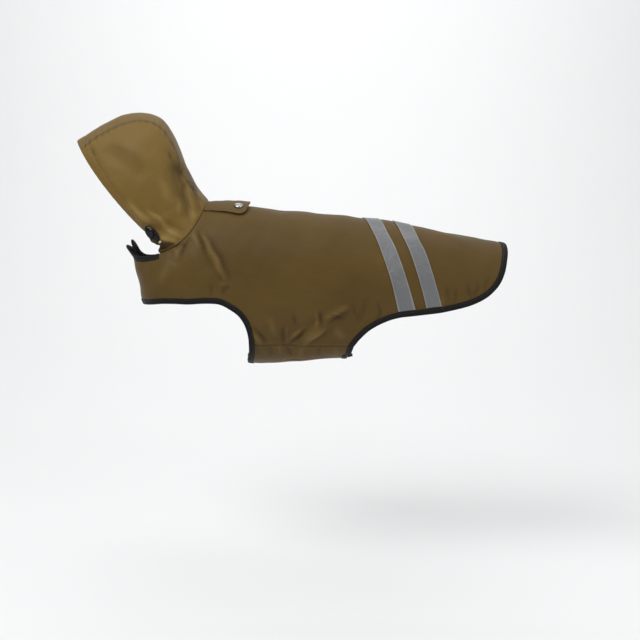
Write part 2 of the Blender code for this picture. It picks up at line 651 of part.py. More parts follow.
def tape_borders(polygon):
    """Ring and girth along both borders of each tape, from the left hem over the ridge."""
    borders = {}
    for name, edges in TAPE_EDGES.items():
        lines = []
        for edge in edges:
            rows = on_torso(edge)
            rows[0, 1] = 0.0
            dense = track(rows, np.linspace(0, len(rows) - 1, DENSE_STEPS))
            leaves = np.argmin(inside(polygon, to_flat(signed(dense, -1))))
            reach = dense[:leaves]
            run = run_along(body_surface(reach[:, 0], -reach[:, 1]))
            end = run[-1] - TAPE_END_GAP
            half = read_rows(reach, run, np.linspace(0, end, int(round(end / EDGE_STEP)) + 1))
            lines.append(np.concatenate([signed(half[::-1], -1), half[1:]]))
        count = min(len(line) for line in lines)
        borders[name] = [line[np.linspace(0, len(line) - 1, count).round().astype(int)]
                         for line in lines]
    return borders


def plan_tapes(plan, polygon):
    """Both borders and the middle line of each tape, so that the tape follows the panel."""
    tapes = {}
    for name, (fore, aft) in tape_borders(polygon).items():
        rails = [plan.add(line) for line in (fore, (fore + aft) / 2, aft)]
        for end in (0, -1):
            plan.join([rail[end] for rail in rails])
        tapes[name] = rails
    return tapes


def fill_points(plan, outline, polygon):
    """Evenly spread points inside the panel, clear of the plan's own points."""
    low, high = outline.min(axis=0), outline.max(axis=0)
    last_row = math.ceil(high[1] / (GRID * HEX_ROW))
    spread = []
    for row in range(-last_row, last_row + 1):
        start = low[0] + (GRID / 2 if row % 2 else 0)
        spread += [(x, row * GRID * HEX_ROW) for x in np.arange(start, high[0], GRID)]
    spread = np.array(spread)
    spread = spread[inside(polygon, spread)]
    fixed = np.array(plan.points)
    clear = [np.hypot(*(fixed - point).T).min() > GRID * FILL_CLEARANCE for point in spread]
    return spread[np.array(clear)]


def plan_body():
    """The back panel's whole flat plan: outline, the area inside the bindings, and tapes."""
    plan = FlatPlan()
    girths = neck_seam_girths()
    neck = plan.add(np.stack([np.zeros(len(girths)), girths], axis=-1))
    right = plan_half(plan, neck[-1], 1)
    left = plan_half(plan, neck[0], -1)
    plan_tail(plan, (left, right))
    outline = (neck + right["front"][1:] + right["seam"] + right["rear"]
               + left["rear"][-2::-1] + left["seam"][::-1] + left["front"][:0:-1])
    within = (neck + right["front_inset"] + right["seam"][1:-1] + right["rear_inset"]
              + left["rear_inset"][-2::-1] + left["seam"][-2:0:-1] + left["front_inset"][::-1])
    tapes = plan_tapes(plan, plan.polygon(within))
    return plan, plan.polygon(outline), plan.polygon(within), tapes


def make_body():
    """The back panel with its wrapped fronts, and the tapes from its own points."""
    plan, outline, within, tapes = plan_body()
    everything = np.concatenate([plan.points, fill_points(plan, outline, within)])
    filled = geometry.delaunay_2d_cdt([Vector(point) for point in everything], plan.lines, [], 0, CLOSE)
    flat = np.array([tuple(point) for point in filled[0]])
    middles = np.array([flat[list(face)].mean(axis=0) for face in filled[2]])
    faces = [face for face, kept in zip(filled[2], inside(outline, middles)) if kept]
    new_number = {old: new for new, olds in enumerate(filled[3]) for old in olds}

    ring_girth = from_flat(flat)
    points = body_surface(ring_girth[:, 0], ring_girth[:, 1])
    normals = normals_of(body_surface, ring_girth[:, 0], ring_girth[:, 1])
    faces = face_outwards(points, faces, normals)
    give_wall(make_object("body_panel", points, faces, "shell_cloth"), CLOTH)
    for name, rails in tapes.items():
        numbers = np.array([new_number[number] for rail in rails for number in rail])
        raised = points[numbers] + normals[numbers] * (CLOTH + SEAM_GAP)
        tape_faces = face_outwards(raised, grid_faces(len(rails), len(rails[0])), normals[numbers])
        give_wall(make_object(name, raised, tape_faces, "tape"), TAPE_WALL)


# ---------------------------------------------------------------- belly straps
def strap_rows():
    """Ring and girth of the right strap's points, one row after another from the seam down."""
    front, rear = strap_edges()
    count = min(len(front), len(rear))
    front, rear = even_count(front, count), even_count(rear, count)
    front_inset, _ = inset_points(front, BINDING_WIDTH)
    rear_inset, _ = inset_points(rear, BINDING_WIDTH)
    front_inset, rear, rear_inset = front_inset, rear[::-1], rear_inset[::-1]
    shares = np.linspace(0, 1, STRAP_ACROSS)[:, None]
    seam = even_count(on_torso(STRAP_SEAM), STRAP_SEAM_POINTS)
    seam[:, 1] += STRAP_SEAM_GAP / GIRTH_SCALE
    straight = front_inset[0] + shares * (rear_inset[0] - front_inset[0])
    rows = []
    for j in range(count):
        middle = front_inset[j] + shares * (rear_inset[j] - front_inset[j])
        near_seam = max(0.0, 1 - STRAP_SEAM_FADE * j / count)
        middle[:, 1] += near_seam * (np.interp(middle[:, 0], seam[:, 0], seam[:, 1]) - straight[:, 1])
        rows.append(np.concatenate([[front[j]], middle, [rear[j]]]))
    return np.concatenate(rows), count


def make_straps():
    """The strap ends below the belly seam; the left one laps under the belly over the right."""
    right, count = strap_rows()
    for label, side in (("left", -1), ("right", 1)):
        place = signed(right, side)
        points = body_surface(place[:, 0], place[:, 1])
        normals = normals_of(body_surface, place[:, 0], place[:, 1])
        faces = face_outwards(points, grid_faces(count, STRAP_ACROSS + 2), normals)
        give_wall(make_object("belly_strap_" + label, points, faces, "shell_cloth"), CLOTH)


# ---------------------------------------------------------------- bindings
def binding_faces(count, turn):
    """Triangles of a U-shaped strip four points across, split as the cloth inside it is.

    Past the turn, where the strip crosses to the coat's other half, the split is mirrored."""
    faces = []
    for i in range(count - 1):
        for rail in range(3):
            a, b = 4 * i + rail, 4 * i + rail + 1
            d, c = a + 4, b + 4
            mirrored = i >= turn
            if (rail == 0) != mirrored:
                faces += [(a, b, d), (b, c, d)]
            else:
                faces += [(a, b, c), (a, c, d)]
    return faces


def make_binding(name, edge, inset, turn):
    """A fold-over binding: a U round the cloth's edge, from the edge's own points."""
    def leaf(place, off):
        return (body_surface(place[:, 0], place[:, 1])
                + normals_of(body_surface, place[:, 0], place[:, 1]) * off)

    upper, lower = CLOTH + SEAM_GAP, -SEAM_GAP
    outer_inset, outer_edge = leaf(inset, upper), leaf(edge, upper)
    inner_edge, inner_inset = leaf(edge, lower), leaf(inset, lower)
    outward = outer_edge - outer_inset
    outward /= np.linalg.norm(outward, axis=1, keepdims=True)
    rails = [outer_inset, outer_edge + outward * SEAM_GAP, inner_edge + outward * SEAM_GAP, inner_inset]
    up = normals_of(body_surface, edge[:, 0], edge[:, 1])
    ways = [up, up + outward, outward - up, -up]
    points = np.stack(rails, axis=1).reshape(-1, 3)
    normals = np.stack(ways, axis=1).reshape(-1, 3)
    faces = face_outwards(points, binding_faces(len(edge), turn), normals)
    return give_wall(make_object(name, points, faces, "binding"), BINDING_WALL, even=True)


def make_bindings():
    bound_front, _, rear = body_edges()
    strap_front, strap_rear = strap_edges()
    front_in, _ = inset_points(bound_front, BINDING_WIDTH)
    strap_front_in, _ = inset_points(strap_front, BINDING_WIDTH)
    front_edge = np.concatenate([bound_front, strap_front[1:]])
    front_inset = np.concatenate([front_in, strap_front_in[1:]])
    for line in (front_edge, front_inset):
        line[0] += BINDING_START * (line[1] - line[0])
    for label, side in (("left", -1), ("right", 1)):
        make_binding("front_binding_" + label, signed(front_edge, side), signed(front_inset, side),
                     len(front_edge))
    rear_in, _ = inset_points(rear, BINDING_WIDTH)
    strap_rear_in, _ = inset_points(strap_rear, BINDING_WIDTH)
    rear_edge = np.concatenate([strap_rear[:-1], rear])
    rear_inset = np.concatenate([strap_rear_in[:-1], rear_in])
    rear_inset[-1, 1] = 0.0
    whole_edge = np.concatenate([signed(rear_edge, -1), signed(rear_edge, 1)[-2::-1]])
    whole_inset = np.concatenate([signed(rear_inset, -1), signed(rear_inset, 1)[-2::-1]])
    make_binding("rear_binding", whole_edge, whole_inset, len(rear_edge) - 1)


# ---------------------------------------------------------------- tab, snap and cord locks
def tab_value(name, along):
    rows = np.array(TAB_ROWS)
    return np.interp(along, rows[:, TAB_COLUMNS.index("along")], rows[:, TAB_COLUMNS.index(name)])


def tab_height(along, across):
    """Height of the tab's underside over the back's cloth."""
    far, near = tab_value("far_lift", along), tab_value("near_lift", along)
    return far + (near - far) * (across + 1) / 2


def tab_point(along, across):
    """Underside of the tab: across is -1 at its far edge and 1 at its near, left edge."""
    rings = np.linspace(0, TAB_LAST_RING, DENSE_STEPS)
    ring = np.interp(TAB_START_X + along, torso_values(rings)["top_x"], rings)
    half_width = tab_value("half_width", along)
    girth = math.radians(TAB_CENTRE_DEGREES) - across * half_width / TAB_GIRTH_RADIUS
    point = body_surface(ring, girth)
    normal = normals_of(body_surface, ring, girth)
    return point + normal * (CLOTH + tab_height(along, across))[..., None], normal


def make_tab():
    shares = np.linspace(-1, 1, TAB_ACROSS)
    along = np.repeat([row[0] for row in TAB_ROWS], TAB_ACROSS)
    points, normals = tab_point(along, np.tile(shares, len(TAB_ROWS)))
    faces = face_outwards(points, grid_faces(len(TAB_ROWS), TAB_ACROSS), normals)
    give_wall(make_object("neck_tab", points, faces, "shell_cloth"), TAB_WALL)


def tab_frame():
    """Centre of the snap on the tab's underside, and the way up there."""
    def spot(along, across):
        return tab_point(np.array([along]), np.array([across]))[0][0]

    centre = spot(SNAP_ALONG, SNAP_ACROSS)
    up = np.cross(spot(SNAP_ALONG, SNAP_ACROSS - 0.3) - centre,
                  spot(SNAP_ALONG - 3.0, SNAP_ACROSS) - centre)
    up /= np.linalg.norm(up)
    return centre, up if up[2] > 0 else -up


def make_turned(name, profile, centre, up, material):
    """A turned piece: a profile of radius and height, spun about the way up."""
    mesh = bpy.data.meshes.new(name)
    points = [(radius * MM, 0.0, height * MM) for radius, height in profile]
    mesh.from_pydata(points, [(i, i + 1) for i in range(len(points) - 1)], [])
    mesh.materials.append(MATERIALS[material])
    thing = bpy.data.objects.new(name, mesh)
    COAT.objects.link(thing)
    spin = thing.modifiers.new("turn", "SCREW")
    spin.steps = spin.render_steps = TURN_STEPS
    spin.use_merge_vertices = True
    spin.merge_threshold = 0.00001
    thing.location = Vector(centre) * MM
    thing.rotation_euler = Vector(up).to_track_quat("Z", "Y").to_euler()
    return thing


def make_snap():
    centre, up = tab_frame()
    cap_seat = centre + up * (TAB_WALL + SEAM_GAP)
    make_turned("snap_cap", SNAP_CAP, cap_seat, up, "metal")
    height = tab_height(SNAP_ALONG, SNAP_ACROSS)
    seat = centre - up * (height - STUD_SEAT_GAP)
    flange, rise = SNAP_STUD_FLANGE
    tall = height - STUD_SEAT_GAP - STUD_TOP_GAP
    profile = ((0.0, tall), (SNAP_STUD_POST_RADIUS, tall), (SNAP_STUD_POST_RADIUS, rise),
               (flange, rise), (flange, 0.0), (0.0, 0.0))
    make_turned("snap_stud", profile, seat, up, "metal")


def lock_frame(side):
    """Seat of the cord lock on the hood, its way out and its long way down the face edge."""
    place, share = np.array([LOCK_PLACE]), np.array([side * LOCK_SHARE])
    point = hood_surface(place, share)[0]
    down = hood_surface(place, share * 1.08)[0] - hood_surface(place, share * 0.92)[0]
    along = hood_surface(place + 0.1, share)[0] - hood_surface(place - 0.1, share)[0]
    normal = np.cross(down, along)
    normal *= side * np.sign(normal[1]) / np.linalg.norm(normal)
    long_way = np.array(LOCK_LONG_WAY) - normal * np.dot(LOCK_LONG_WAY, normal)
    return point, normal, long_way / np.linalg.norm(long_way)


def make_lock(label, side):
    point, normal, down = lock_frame(side)
    centre = point + normal * (CLOTH + LOCK_OFF_CLOTH + LOCK_HALF_HEIGHT)
    across = np.cross(normal, down)
    ball = bmesh.new()
    bmesh.ops.create_uvsphere(ball, u_segments=TURN_STEPS, v_segments=LOCK_BANDS, radius=1.0)
    for vert in ball.verts:
        flat = math.hypot(vert.co.x, vert.co.y)
        fuller = flat ** LOCK_ROUNDNESS / flat if flat > CLOSE else 1.0
        size = (LOCK_HALF_LENGTH * fuller * vert.co.x, LOCK_HALF_WIDTH * fuller * vert.co.y,
                LOCK_HALF_HEIGHT * vert.co.z)
        place = centre + down * size[0] + across * size[1] + normal * size[2]
        vert.co = Vector(place) * MM
    bmesh.ops.recalc_face_normals(ball, faces=ball.faces)
    mesh = bpy.data.meshes.new("cord_lock_" + label)
    ball.to_mesh(mesh)
    ball.free()
    mesh.materials.append(MATERIALS["plastic"])
    mesh.shade_smooth()
    COAT.objects.link(bpy.data.objects.new("cord_lock_" + label, mesh))
    top = centre + normal * (LOCK_HALF_HEIGHT + SEAM_GAP)
    make_turned("cord_lock_button_" + label, LOCK_BUTTON, top, normal, "plastic")
    make_knot(label, centre + down * (LOCK_HALF_LENGTH + SEAM_GAP + KNOT_RADIUS))


def make_knot(label, centre):
    bpy.ops.mesh.primitive_uv_sphere_add(segments=12, ring_count=8, radius=KNOT_RADIUS * MM,
                                         location=Vector(centre) * MM)
    knot = bpy.context.active_object
    knot.name = knot.data.name = "drawcord_knot_" + label
    knot.data.materials.append(MATERIALS["plastic"])
    knot.data.shade_smooth()
    for collection in list(knot.users_collection):
        collection.objects.unlink(knot)
    COAT.objects.link(knot)


# ---------------------------------------------------------------- run
clear_scene()
COAT = bpy.data.collections.new("dog_shell_jacket")
bpy.context.scene.collection.children.link(COAT)
MATERIALS = {name: make_material(name) for name in COLOURS}
make_body()
make_hood()
make_straps()
make_bindings()
make_tab()
make_snap()
for lock_label, lock_side in (("left", -1), ("right", 1)):
    make_lock(lock_label, lock_side)
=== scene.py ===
"""Finished look of the hooded dog shell jacket: nylon shell with its creases and gathers,
bindings, reflective tapes, neck tab with snap, cord locks and all the stitching.

The pieces repeat the coat's own tables and surfaces in millimetres, in finer steps, and add
the small creases; MM turns them into metres when a mesh is made.
"""

import math

import bmesh
import bpy
import numpy as np
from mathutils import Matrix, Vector, geometry


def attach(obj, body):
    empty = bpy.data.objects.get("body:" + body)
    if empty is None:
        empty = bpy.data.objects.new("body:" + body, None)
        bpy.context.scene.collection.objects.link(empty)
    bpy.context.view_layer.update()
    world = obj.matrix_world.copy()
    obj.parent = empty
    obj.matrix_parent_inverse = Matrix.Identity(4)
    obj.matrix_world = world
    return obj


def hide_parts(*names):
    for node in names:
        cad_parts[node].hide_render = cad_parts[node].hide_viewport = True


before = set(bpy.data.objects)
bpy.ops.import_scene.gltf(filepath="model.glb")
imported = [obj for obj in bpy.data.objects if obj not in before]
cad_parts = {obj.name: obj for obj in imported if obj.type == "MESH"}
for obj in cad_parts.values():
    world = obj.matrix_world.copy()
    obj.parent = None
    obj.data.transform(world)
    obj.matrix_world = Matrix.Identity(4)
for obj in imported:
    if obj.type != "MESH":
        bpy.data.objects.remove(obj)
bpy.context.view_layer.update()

MM = 0.001
CLOSE = 1e-6

# ---------------------------------------------------------------- driving sizes, in millimetres
CLOTH = 1.2            # wall of the shell cloth
SEAM_GAP = 0.3         # space between pieces that touch
TAPE_WALL = 1.0        # wall of the reflective tape
BINDING_WIDTH = 8.0    # how far the binding reaches in from the edge
LAP_LIFT = 4.6         # how far an outer front or strap end lies off the one under it
CORNER_FLARE = 5.5     # how far the left front's top corner leans out, for one ring above the neck
CORNER_DROP = 8.0      # and how far it sags
LAP_FROM = 125.0       # girth angle where the left front starts to lift off, degrees
LAP_OVER = 35.0        # and over how many degrees it does so
TURN_FROM = 140.0      # girth angle where its corner starts to turn out, degrees
TURN_SOFTNESS = 0.35   # larger turns the corner out more gently above the neck seam
GRID = 2.8             # spacing of the points on the back panel
EDGE_STEP = 3.0        # spacing of the points along cut edges
CORNER_STEP = 2.6      # and round the fronts' neckline and standing corners
GIRTH_SCALE = 62.0     # millimetres of flat pattern for one radian of girth
HEX_ROW = 0.866        # rows of points lie this share of GRID apart
FILL_CLEARANCE = 0.62  # share of GRID kept between those points and the edges' own points
SEAM_CLEARANCE = 3.0   # and between the belly seam's points and the bindings' corners
DENSE_STEPS = 600      # steps in which a smooth line is measured
HOOD_FOOT_ANGLE = 116.5   # girth angle, degrees, where the hood's front corner meets the neck
HOOD_COLUMNS = 118     # points from face edge to neck seam
HOOD_SIDE_ROWS = 64     # points down a hood side
CROWN_HALF_ROWS = 13   # points from the crown's centre line to its seam

# Rings of the general figure that the coat hangs on, neck to rump. A ring runs from its top
# point to its foot point; bow pushes its middle towards the tail, egg makes it wider above
# the middle, and full makes its top and foot blunter.
TORSO_COLUMNS = ("top_x", "top_z", "foot_x", "foot_z", "half_width", "bow", "egg", "full")
TORSO_RINGS = (
    (-56.0, 14.0, -162.0, -57.0, 52.0, 30.0, 0.00, 0.05),    # throat, above the neckline
    (-42.0, 2.8, -155.5, -82.0, 58.0, 28.0, 0.00, 0.05),     # neck seam
    (-24.0, 1.4, -152.0, -105.0, 66.0, 24.0, 0.00, 0.08),
    (-7.0, 0.4, -146.0, -128.0, 71.0, 17.0, 0.00, 0.12),
    (8.0, -1.2, -140.5, -152.5, 74.5, 11.0, 0.00, 0.15),     # foot of the fronts
    (20.0, -3.0, -112.0, -186.0, 76.5, 6.0, 0.00, 0.18),
    (34.0, -5.0, -57.0, -221.0, 78.0, 2.0, 0.00, 0.20),
    (50.0, -6.8, 8.0, -243.5, 78.5, 0.0, 0.00, 0.22),
    (75.0, -9.3, 60.0, -246.5, 79.0, 0.0, 0.00, 0.22),       # girth behind the front legs
    (105.0, -12.2, 101.0, -244.5, 79.0, 0.0, 0.00, 0.22),
    (140.0, -15.4, 140.0, -241.5, 79.0, 0.0, 0.00, 0.22),
    (175.0, -18.8, 176.0, -238.5, 79.0, 0.0, 0.00, 0.22),
    (210.0, -22.4, 212.0, -236.0, 79.0, 0.0, 0.00, 0.20),    # loin
    (250.0, -27.4, 252.0, -228.0, 78.5, 0.0, 0.02, 0.20),
    (295.0, -36.4, 296.0, -221.0, 77.5, 0.0, 0.02, 0.20),
    (340.0, -45.2, 340.0, -217.0, 75.5, 0.0, 0.02, 0.20),    # hips
    (385.0, -53.8, 383.0, -216.0, 72.0, 0.0, 0.02, 0.20),
    (425.0, -61.8, 417.0, -216.0, 66.0, 0.0, 0.02, 0.20),    # rump
    (458.0, -69.0, 446.0, -216.0, 58.0, 0.0, 0.02, 0.20),
)
FIRST_RING = -1        # ring number of the table's first row; the neck seam is ring 0

# Neckline and front edge of one front, as ring number and girth angle. Past 180 degrees the
# front has crossed the centre line and laps the other one.
FRONT_EDGE = (
    (0.00, 116.5), (0.00, 132.0), (-0.02, 146.0), (-0.12, 156.0), (-0.40, 163.5),
    (-0.74, 167.5), (-0.97, 173.0), (-1.05, 181.0), (-0.97, 189.0), (-0.74, 194.5),
    (-0.30, 197.0), (0.40, 197.5), (1.20, 197.5), (2.00, 197.5), (2.55, 195.5),
    (2.88, 190.5), (3.00, 183.0),
)

# Cut edges seen from the side, front to back: x along the back, z up.
FRONT_HEM_AND_LEG = (
    (-133.0, -153.0), (-114.0, -152.2), (-93.0, -152.0), (-66.8, -152.2), (-46.0, -151.0),
    (-28.0, -150.8), (-15.0, -152.8), (-1.9, -159.6), (10.5, -168.8), (19.3, -181.1),
    (24.2, -194.2), (26.6, -206.0), (27.0, -214.5),
)
STRAP_SEAM = ((27.0, -214.5), (71.4, -215.8), (115.2, -217.0), (150.0, -217.4), (187.5, -217.0))
REAR_CUT = (
    (187.5, -217.0), (194.5, -208.5), (203.5, -199.4), (214.0, -190.8), (233.1, -180.4),
    (255.0, -173.0), (286.9, -169.0), (321.5, -164.4), (354.0, -157.6), (378.5, -148.8),
    (396.5, -137.6), (409.8, -123.2), (417.7, -106.8), (422.6, -88.8), (426.3, -73.5),
    (428.0, -62.5),
)
STRAP_FRONT_EDGE = ((27.0, -214.9), (26.9, -223.0), (25.5, -234.0))
STRAP_REAR_EDGE = ((181.5, -234.0), (184.3, -226.0), (187.2, -217.6))
STRAP_RINGS = (6.25, 10.06)       # rings that the strap follows under the belly
STRAP_END_ANGLE = 206.0           # how far round a strap reaches, degrees
STRAP_ACROSS = 52                 # points across a strap between its bindings
STRAP_SEAM_POINTS = 60            # points in which the belly seam's curve is read
STRAP_SEAM_GAP = 0.4              # from the belly seam to the strap's upper edge
STRAP_SEAM_FADE = 3               # the strap's rows straighten over this fraction of its length

# Reflective tapes, seen from the side: the two edges of each from the ridge to the hem.
TAPE_END_GAP = 1.4               # from a tape's end to the hem's binding
TAPE_EDGES = {
    "reflective_tape_front": (
        ((203.0, -22.0), (212.5, -35.0), (222.4, -55.1), (232.6, -82.2), (243.4, -115.4),
         (250.5, -143.0), (257.5, -172.5)),
        ((228.5, -25.0), (237.0, -39.5), (247.5, -59.5), (257.8, -86.0), (268.2, -116.5),
         (276.0, -141.0), (284.5, -169.0))),
    "reflective_tape_rear": (
        ((250.5, -27.6), (260.0, -44.0), (269.5, -65.5), (279.3, -92.5), (288.0, -120.0),
         (294.5, -143.0), (301.0, -168.0)),
        ((276.0, -32.7), (285.0, -50.5), (295.5, -72.0), (304.8, -98.5), (313.0, -125.0),
         (318.8, -145.0), (325.0, -166.0))),
}

# Hood rings, face edge to neck. A ring runs from the crown's centre line down to the front
# corner; crown_half is the crown strip's half width along the ring.
HOOD_RING_COLUMNS = ("top_x", "top_z", "foot_x", "foot_z", "half_width", "bow", "crown_half")
HOOD_RINGS = (
    (-245.5, 99.5, -115.0, -58.0, 52.0, -8.0, 31.0),         # face edge
    (-222.0, 115.2, -114.8, -59.6, 57.0, -7.0, 33.0),
    (-196.0, 128.0, -114.6, -61.4, 59.5, -5.0, 34.0),
    (-170.0, 139.2, -114.4, -63.2, 61.0, -3.0, 34.0),
    (-142.0, 142.0, -114.2, -65.0, 61.0, 0.0, 33.0),
    (-113.0, 131.5, -114.0, -66.8, 60.0, 3.0, 32.0),         # back of the crown
    (-92.5, 103.0, -113.8, -68.6, 59.0, 6.0, 31.0),
    (-79.0, 66.0, -113.6, -70.4, 58.0, 9.0, 30.0),
    (-60.5, 30.0, -113.4, -72.4, 57.5, 13.0, 28.0),
)
HOOD_RISE = 1.5                  # how far the hood's lower edge stands up on the neck seam
HOOD_CORNER_OFF = 2.0            # further off it at the hood's front corners
HOOD_CORNER_POWER = 8            # and how near to the corners that starts
HOOD_MIDDLE_X = -110.0           # a place inside the hood
FACE_EDGE_CALM = (8, 0.3)        # rate and start of the folds behind the face edge
SEAM_CALM = 6                    # rate at which the folds die out at the neck seam
HOOD_FOOT_DEPTH = 51.5           # half the space between the hood's front corners
CROWN_HALF_AT_NECK = 25.0
HOOD_SHARE_GAP = 0.001           # half the seam gap, as a share of a hood ring
HOOD_RING_LENGTH = 210.0         # a hood ring's length, crown to front corner
HOOD_SEAM_LENGTH = 250.0         # the crown seam's length, face edge to neck
HOOD_PLACES = np.linspace(0, 1, HOOD_COLUMNS)

# Largest folds. A row is a line seen from the side, from one end to the other; the cloth
# stands out by height (in, where negative) over width on each side of it.
FOLD_COLUMNS = ("x0", "z0", "x1", "z1", "width", "height")
BODY_FOLDS_LEFT = (
    (-46, -44, -6, -112, 8, 3.4),        # from the neck seam down the shoulder
    (-58, -50, -26, -104, 8, -2.6),
    (-76, -62, -88, -92, 8, -2.4),
    (176, -160, 96, -212, 9, 3.6),       # pulled up from the belly seam
    (150, -168, 88, -206, 8, -3),
    (122, -166, 112, -196, 7, 2.2),
    (70, -168, 66, -206, 7, -2),
    (52, -176, 40, -208, 7, 1.8),
)
BODY_FOLDS_RIGHT = (
    (-46, -46, -8, -110, 10, 2.2),
    (-70, -66, -40, -118, 8, -2),
    (164, -156, 84, -210, 10, 3.2),
    (138, -172, 96, -208, 8, -2.6),
    (60, -170, 48, -208, 8, 2),
)
HOOD_FOLDS_LEFT = (
    (-88, 62, -62, -26, 10, -7.5),       # large fold down the back of the neck
    (-196, 82, -132, 40, 12, -2.6),      # soft trough across the side
    (-124, -52, -78, -52, 9, 5.5),       # roll above the neck seam
    (-140, -28, -92, -26, 9, 2.4),
)
HOOD_FOLDS_RIGHT = (
    (-88, 54, -66, -26, 12, -6),
    (-186, 74, -140, 30, 13, -2.4),
    (-124, -54, -74, -46, 9, 4),
)
FOLD_SIDE_REACH = 20.0           # a side's folds fade out this far from the centre line
FOLD_END_RATE = 4.0              # how fast a fold tapers at its ends
FOLD_END_SHARE = 0.4

# Neck tab over the back: length from the neck seam, half width, and how far its far and near
# edges stand off the back.
TAB_COLUMNS = ("along", "half_width", "far_lift", "near_lift")
TAB_ROWS = (
    (1.2, 18.3, 0.7, 0.6), (12.0, 18.7, 1.6, 0.8), (24.0, 19.0, 2.6, 1.1), (36.0, 19.1, 3.5, 1.5),
    (48.0, 19.0, 4.5, 2.0), (59.0, 18.8, 5.5, 2.4), (65.0, 16.8, 5.9, 2.7), (68.0, 12.0, 6.1, 3.3),
)
TAB_CENTRE_DEGREES = -17.5       # girth angle of the tab's centre line, a little to the left
TAB_GIRTH_RADIUS = 70.0          # millimetres across the back for one radian of girth
TAB_START_X = -42.0              # where it leaves the neck seam
TAB_LAST_RING = 6.0              # a ring past the tab's end
TAB_WALL = 1.6                   # two layers of cloth
SNAP_ALONG = 55.0                # from the neck seam to the snap's centre
SNAP_ACROSS = 0.25               # and from the tab's centre line, towards its near edge
SNAP_CAP = (                     # half section of the cap: radius and height
    (0.0, 2.3), (2.0, 2.25), (2.9, 2.05), (3.3, 1.85), (3.7, 1.95), (4.4, 2.3), (5.2, 2.35),
    (6.0, 2.1), (6.7, 1.45), (7.15, 0.7), (7.2, 0.25), (7.0, 0.0), (0.0, 0.0),
)

LOCK_PLACE = 0.41                # cord lock's centre on the hood, face edge 0 to neck 1
LOCK_SHARE = 0.918               # and down the ring, crown 0 to front corner 1
LOCK_LONG_WAY = (0.71, 0.0, -0.70)   # the way its long side lies, down the face edge
LOCK_HALF_LENGTH = 14.5
LOCK_HALF_WIDTH = 8.5
LOCK_HALF_HEIGHT = 4.4
LOCK_BUTTON = (                  # half section of its button: radius and height
    (0.0, 1.45), (2.4, 1.45), (3.4, 1.5), (4.0, 1.3), (4.4, 0.85), (4.6, 0.1), (4.5, 0.0),
    (0.0, 0.0),
)
LOCK_OFF_CLOTH = 0.9             # clear of the hood's curve under the lock
LOCK_ROUNDNESS = 0.8             # below 1, the lock's outline is blunter than an ellipsoid
LOCK_BANDS = 36                  # rings of points from its top to its underside
LOCK_TURN_STEPS = 56             # points round it
LOCK_DISH = (6.2, 0.5, 0.9)      # radius, depth and softness of the dish round the button
LOCK_RIM = (6.9, 0.6, 0.55)      # radius, height and half width of the rim round the dish
LOCK_SEAM = (0.35, 0.035)        # depth of its moulding seam, and the seam's reach
BUTTON_TURN_STEPS = 36
KNOT_RADIUS = 2.6                # knot that ends the drawcord below the lock

# ---------------------------------------------------------------- smooth tables and rings
def smooth_between(value_at, place, last):
    """Smooth curve through values numbered 0 to last, read at any number."""
    row = np.clip(np.floor(place).astype(int), 0, last - 1)
    before, after = np.maximum(row - 1, 0), np.minimum(row + 2, last)
    start, end = value_at(row), value_at(row + 1)
    widen = (...,) + (None,) * (start.ndim - row.ndim)
    slope_start = (end - value_at(before)) / (row + 1 - before)[widen]
    slope_end = (value_at(after) - start) / (after - row)[widen]
    part = (place - row)[widen]
    square, cube = part ** 2, part ** 3
    return ((2 * cube - 3 * square + 1) * start + (cube - 2 * square + part) * slope_start
            + (3 * square - 2 * cube) * end + (cube - square) * slope_end)


def track(values, place):
    """Smooth curve through evenly numbered table values, read at any row number."""
    values = np.asarray(values, float)
    last = len(values) - 1
    return smooth_between(values.__getitem__, np.clip(place, -0.5, last + 0.5), last)


def run_along(points):
    """Distance from the first point to each point along a line of points."""
    return np.concatenate([[0.0], np.cumsum(np.linalg.norm(np.diff(points, axis=0), axis=1))])


def read_rows(rows, run, places):
    """Columns of rows, numbered by their run, read at other places along it."""
    return np.stack([np.interp(places, run, rows[:, i]) for i in range(rows.shape[1])], axis=-1)


def smooth_step(value):
    value = np.clip(value, 0.0, 1.0)
    return value * value * (3 - 2 * value)


def torso_values(ring):
    """All columns of the torso table at any ring number, as a dictionary."""
    rows = track(TORSO_RINGS, np.asarray(ring, float) - FIRST_RING)
    return {name: rows[..., i] for i, name in enumerate(TORSO_COLUMNS)}


def torso_point(ring, girth):
    """Point on the bare figure; girth is the signed angle from the ridge, left negative."""
    t = torso_values(ring)
    fraction = (1 - np.cos(girth)) / 2
    chord_x, chord_z = t["foot_x"] - t["top_x"], t["foot_z"] - t["top_z"]
    length = np.hypot(chord_x, chord_z)
    push = 4 * fraction * (1 - fraction) * t["bow"] / length
    across = t["half_width"] * np.sin(girth) * (1 + t["egg"] * np.cos(girth))
    across = across * (1 + t["full"] * np.cos(girth) ** 2)
    return np.stack([t["top_x"] + fraction * chord_x - push * chord_z, across,
                     t["top_z"] + fraction * chord_z + push * chord_x], axis=-1)


def normals_of(surface, u, v, step=0.004):
    """Unit normals of a surface function of two numbers, pointing out of the coat."""
    along_u = surface(u + step, v) - surface(u - step, v)
    along_v = surface(u, v + step) - surface(u, v - step)
    normal = np.cross(along_u, along_v)
    return normal / np.linalg.norm(normal, axis=-1, keepdims=True)


def folds_over(point, tables, columns, reach):
    """Each fold of the left and right tables: its row, its length, how far points are on its
    side, their share of the way along it, and their distance off it."""
    for rows, side in zip(tables, (-1, 1)):
        on_side = smooth_step(side * point[..., 1] / reach)
        for row in rows:
            fold = dict(zip(columns, row))
            line = np.array([fold["x1"] - fold["x0"], fold["z1"] - fold["z0"]])
            length = np.hypot(*line)
            line = line / length
            dx, dz = point[..., 0] - fold["x0"], point[..., 2] - fold["z0"]
            yield (fold, length, on_side, (dx * line[0] + dz * line[1]) / length,
                   dz * line[0] - dx * line[1])


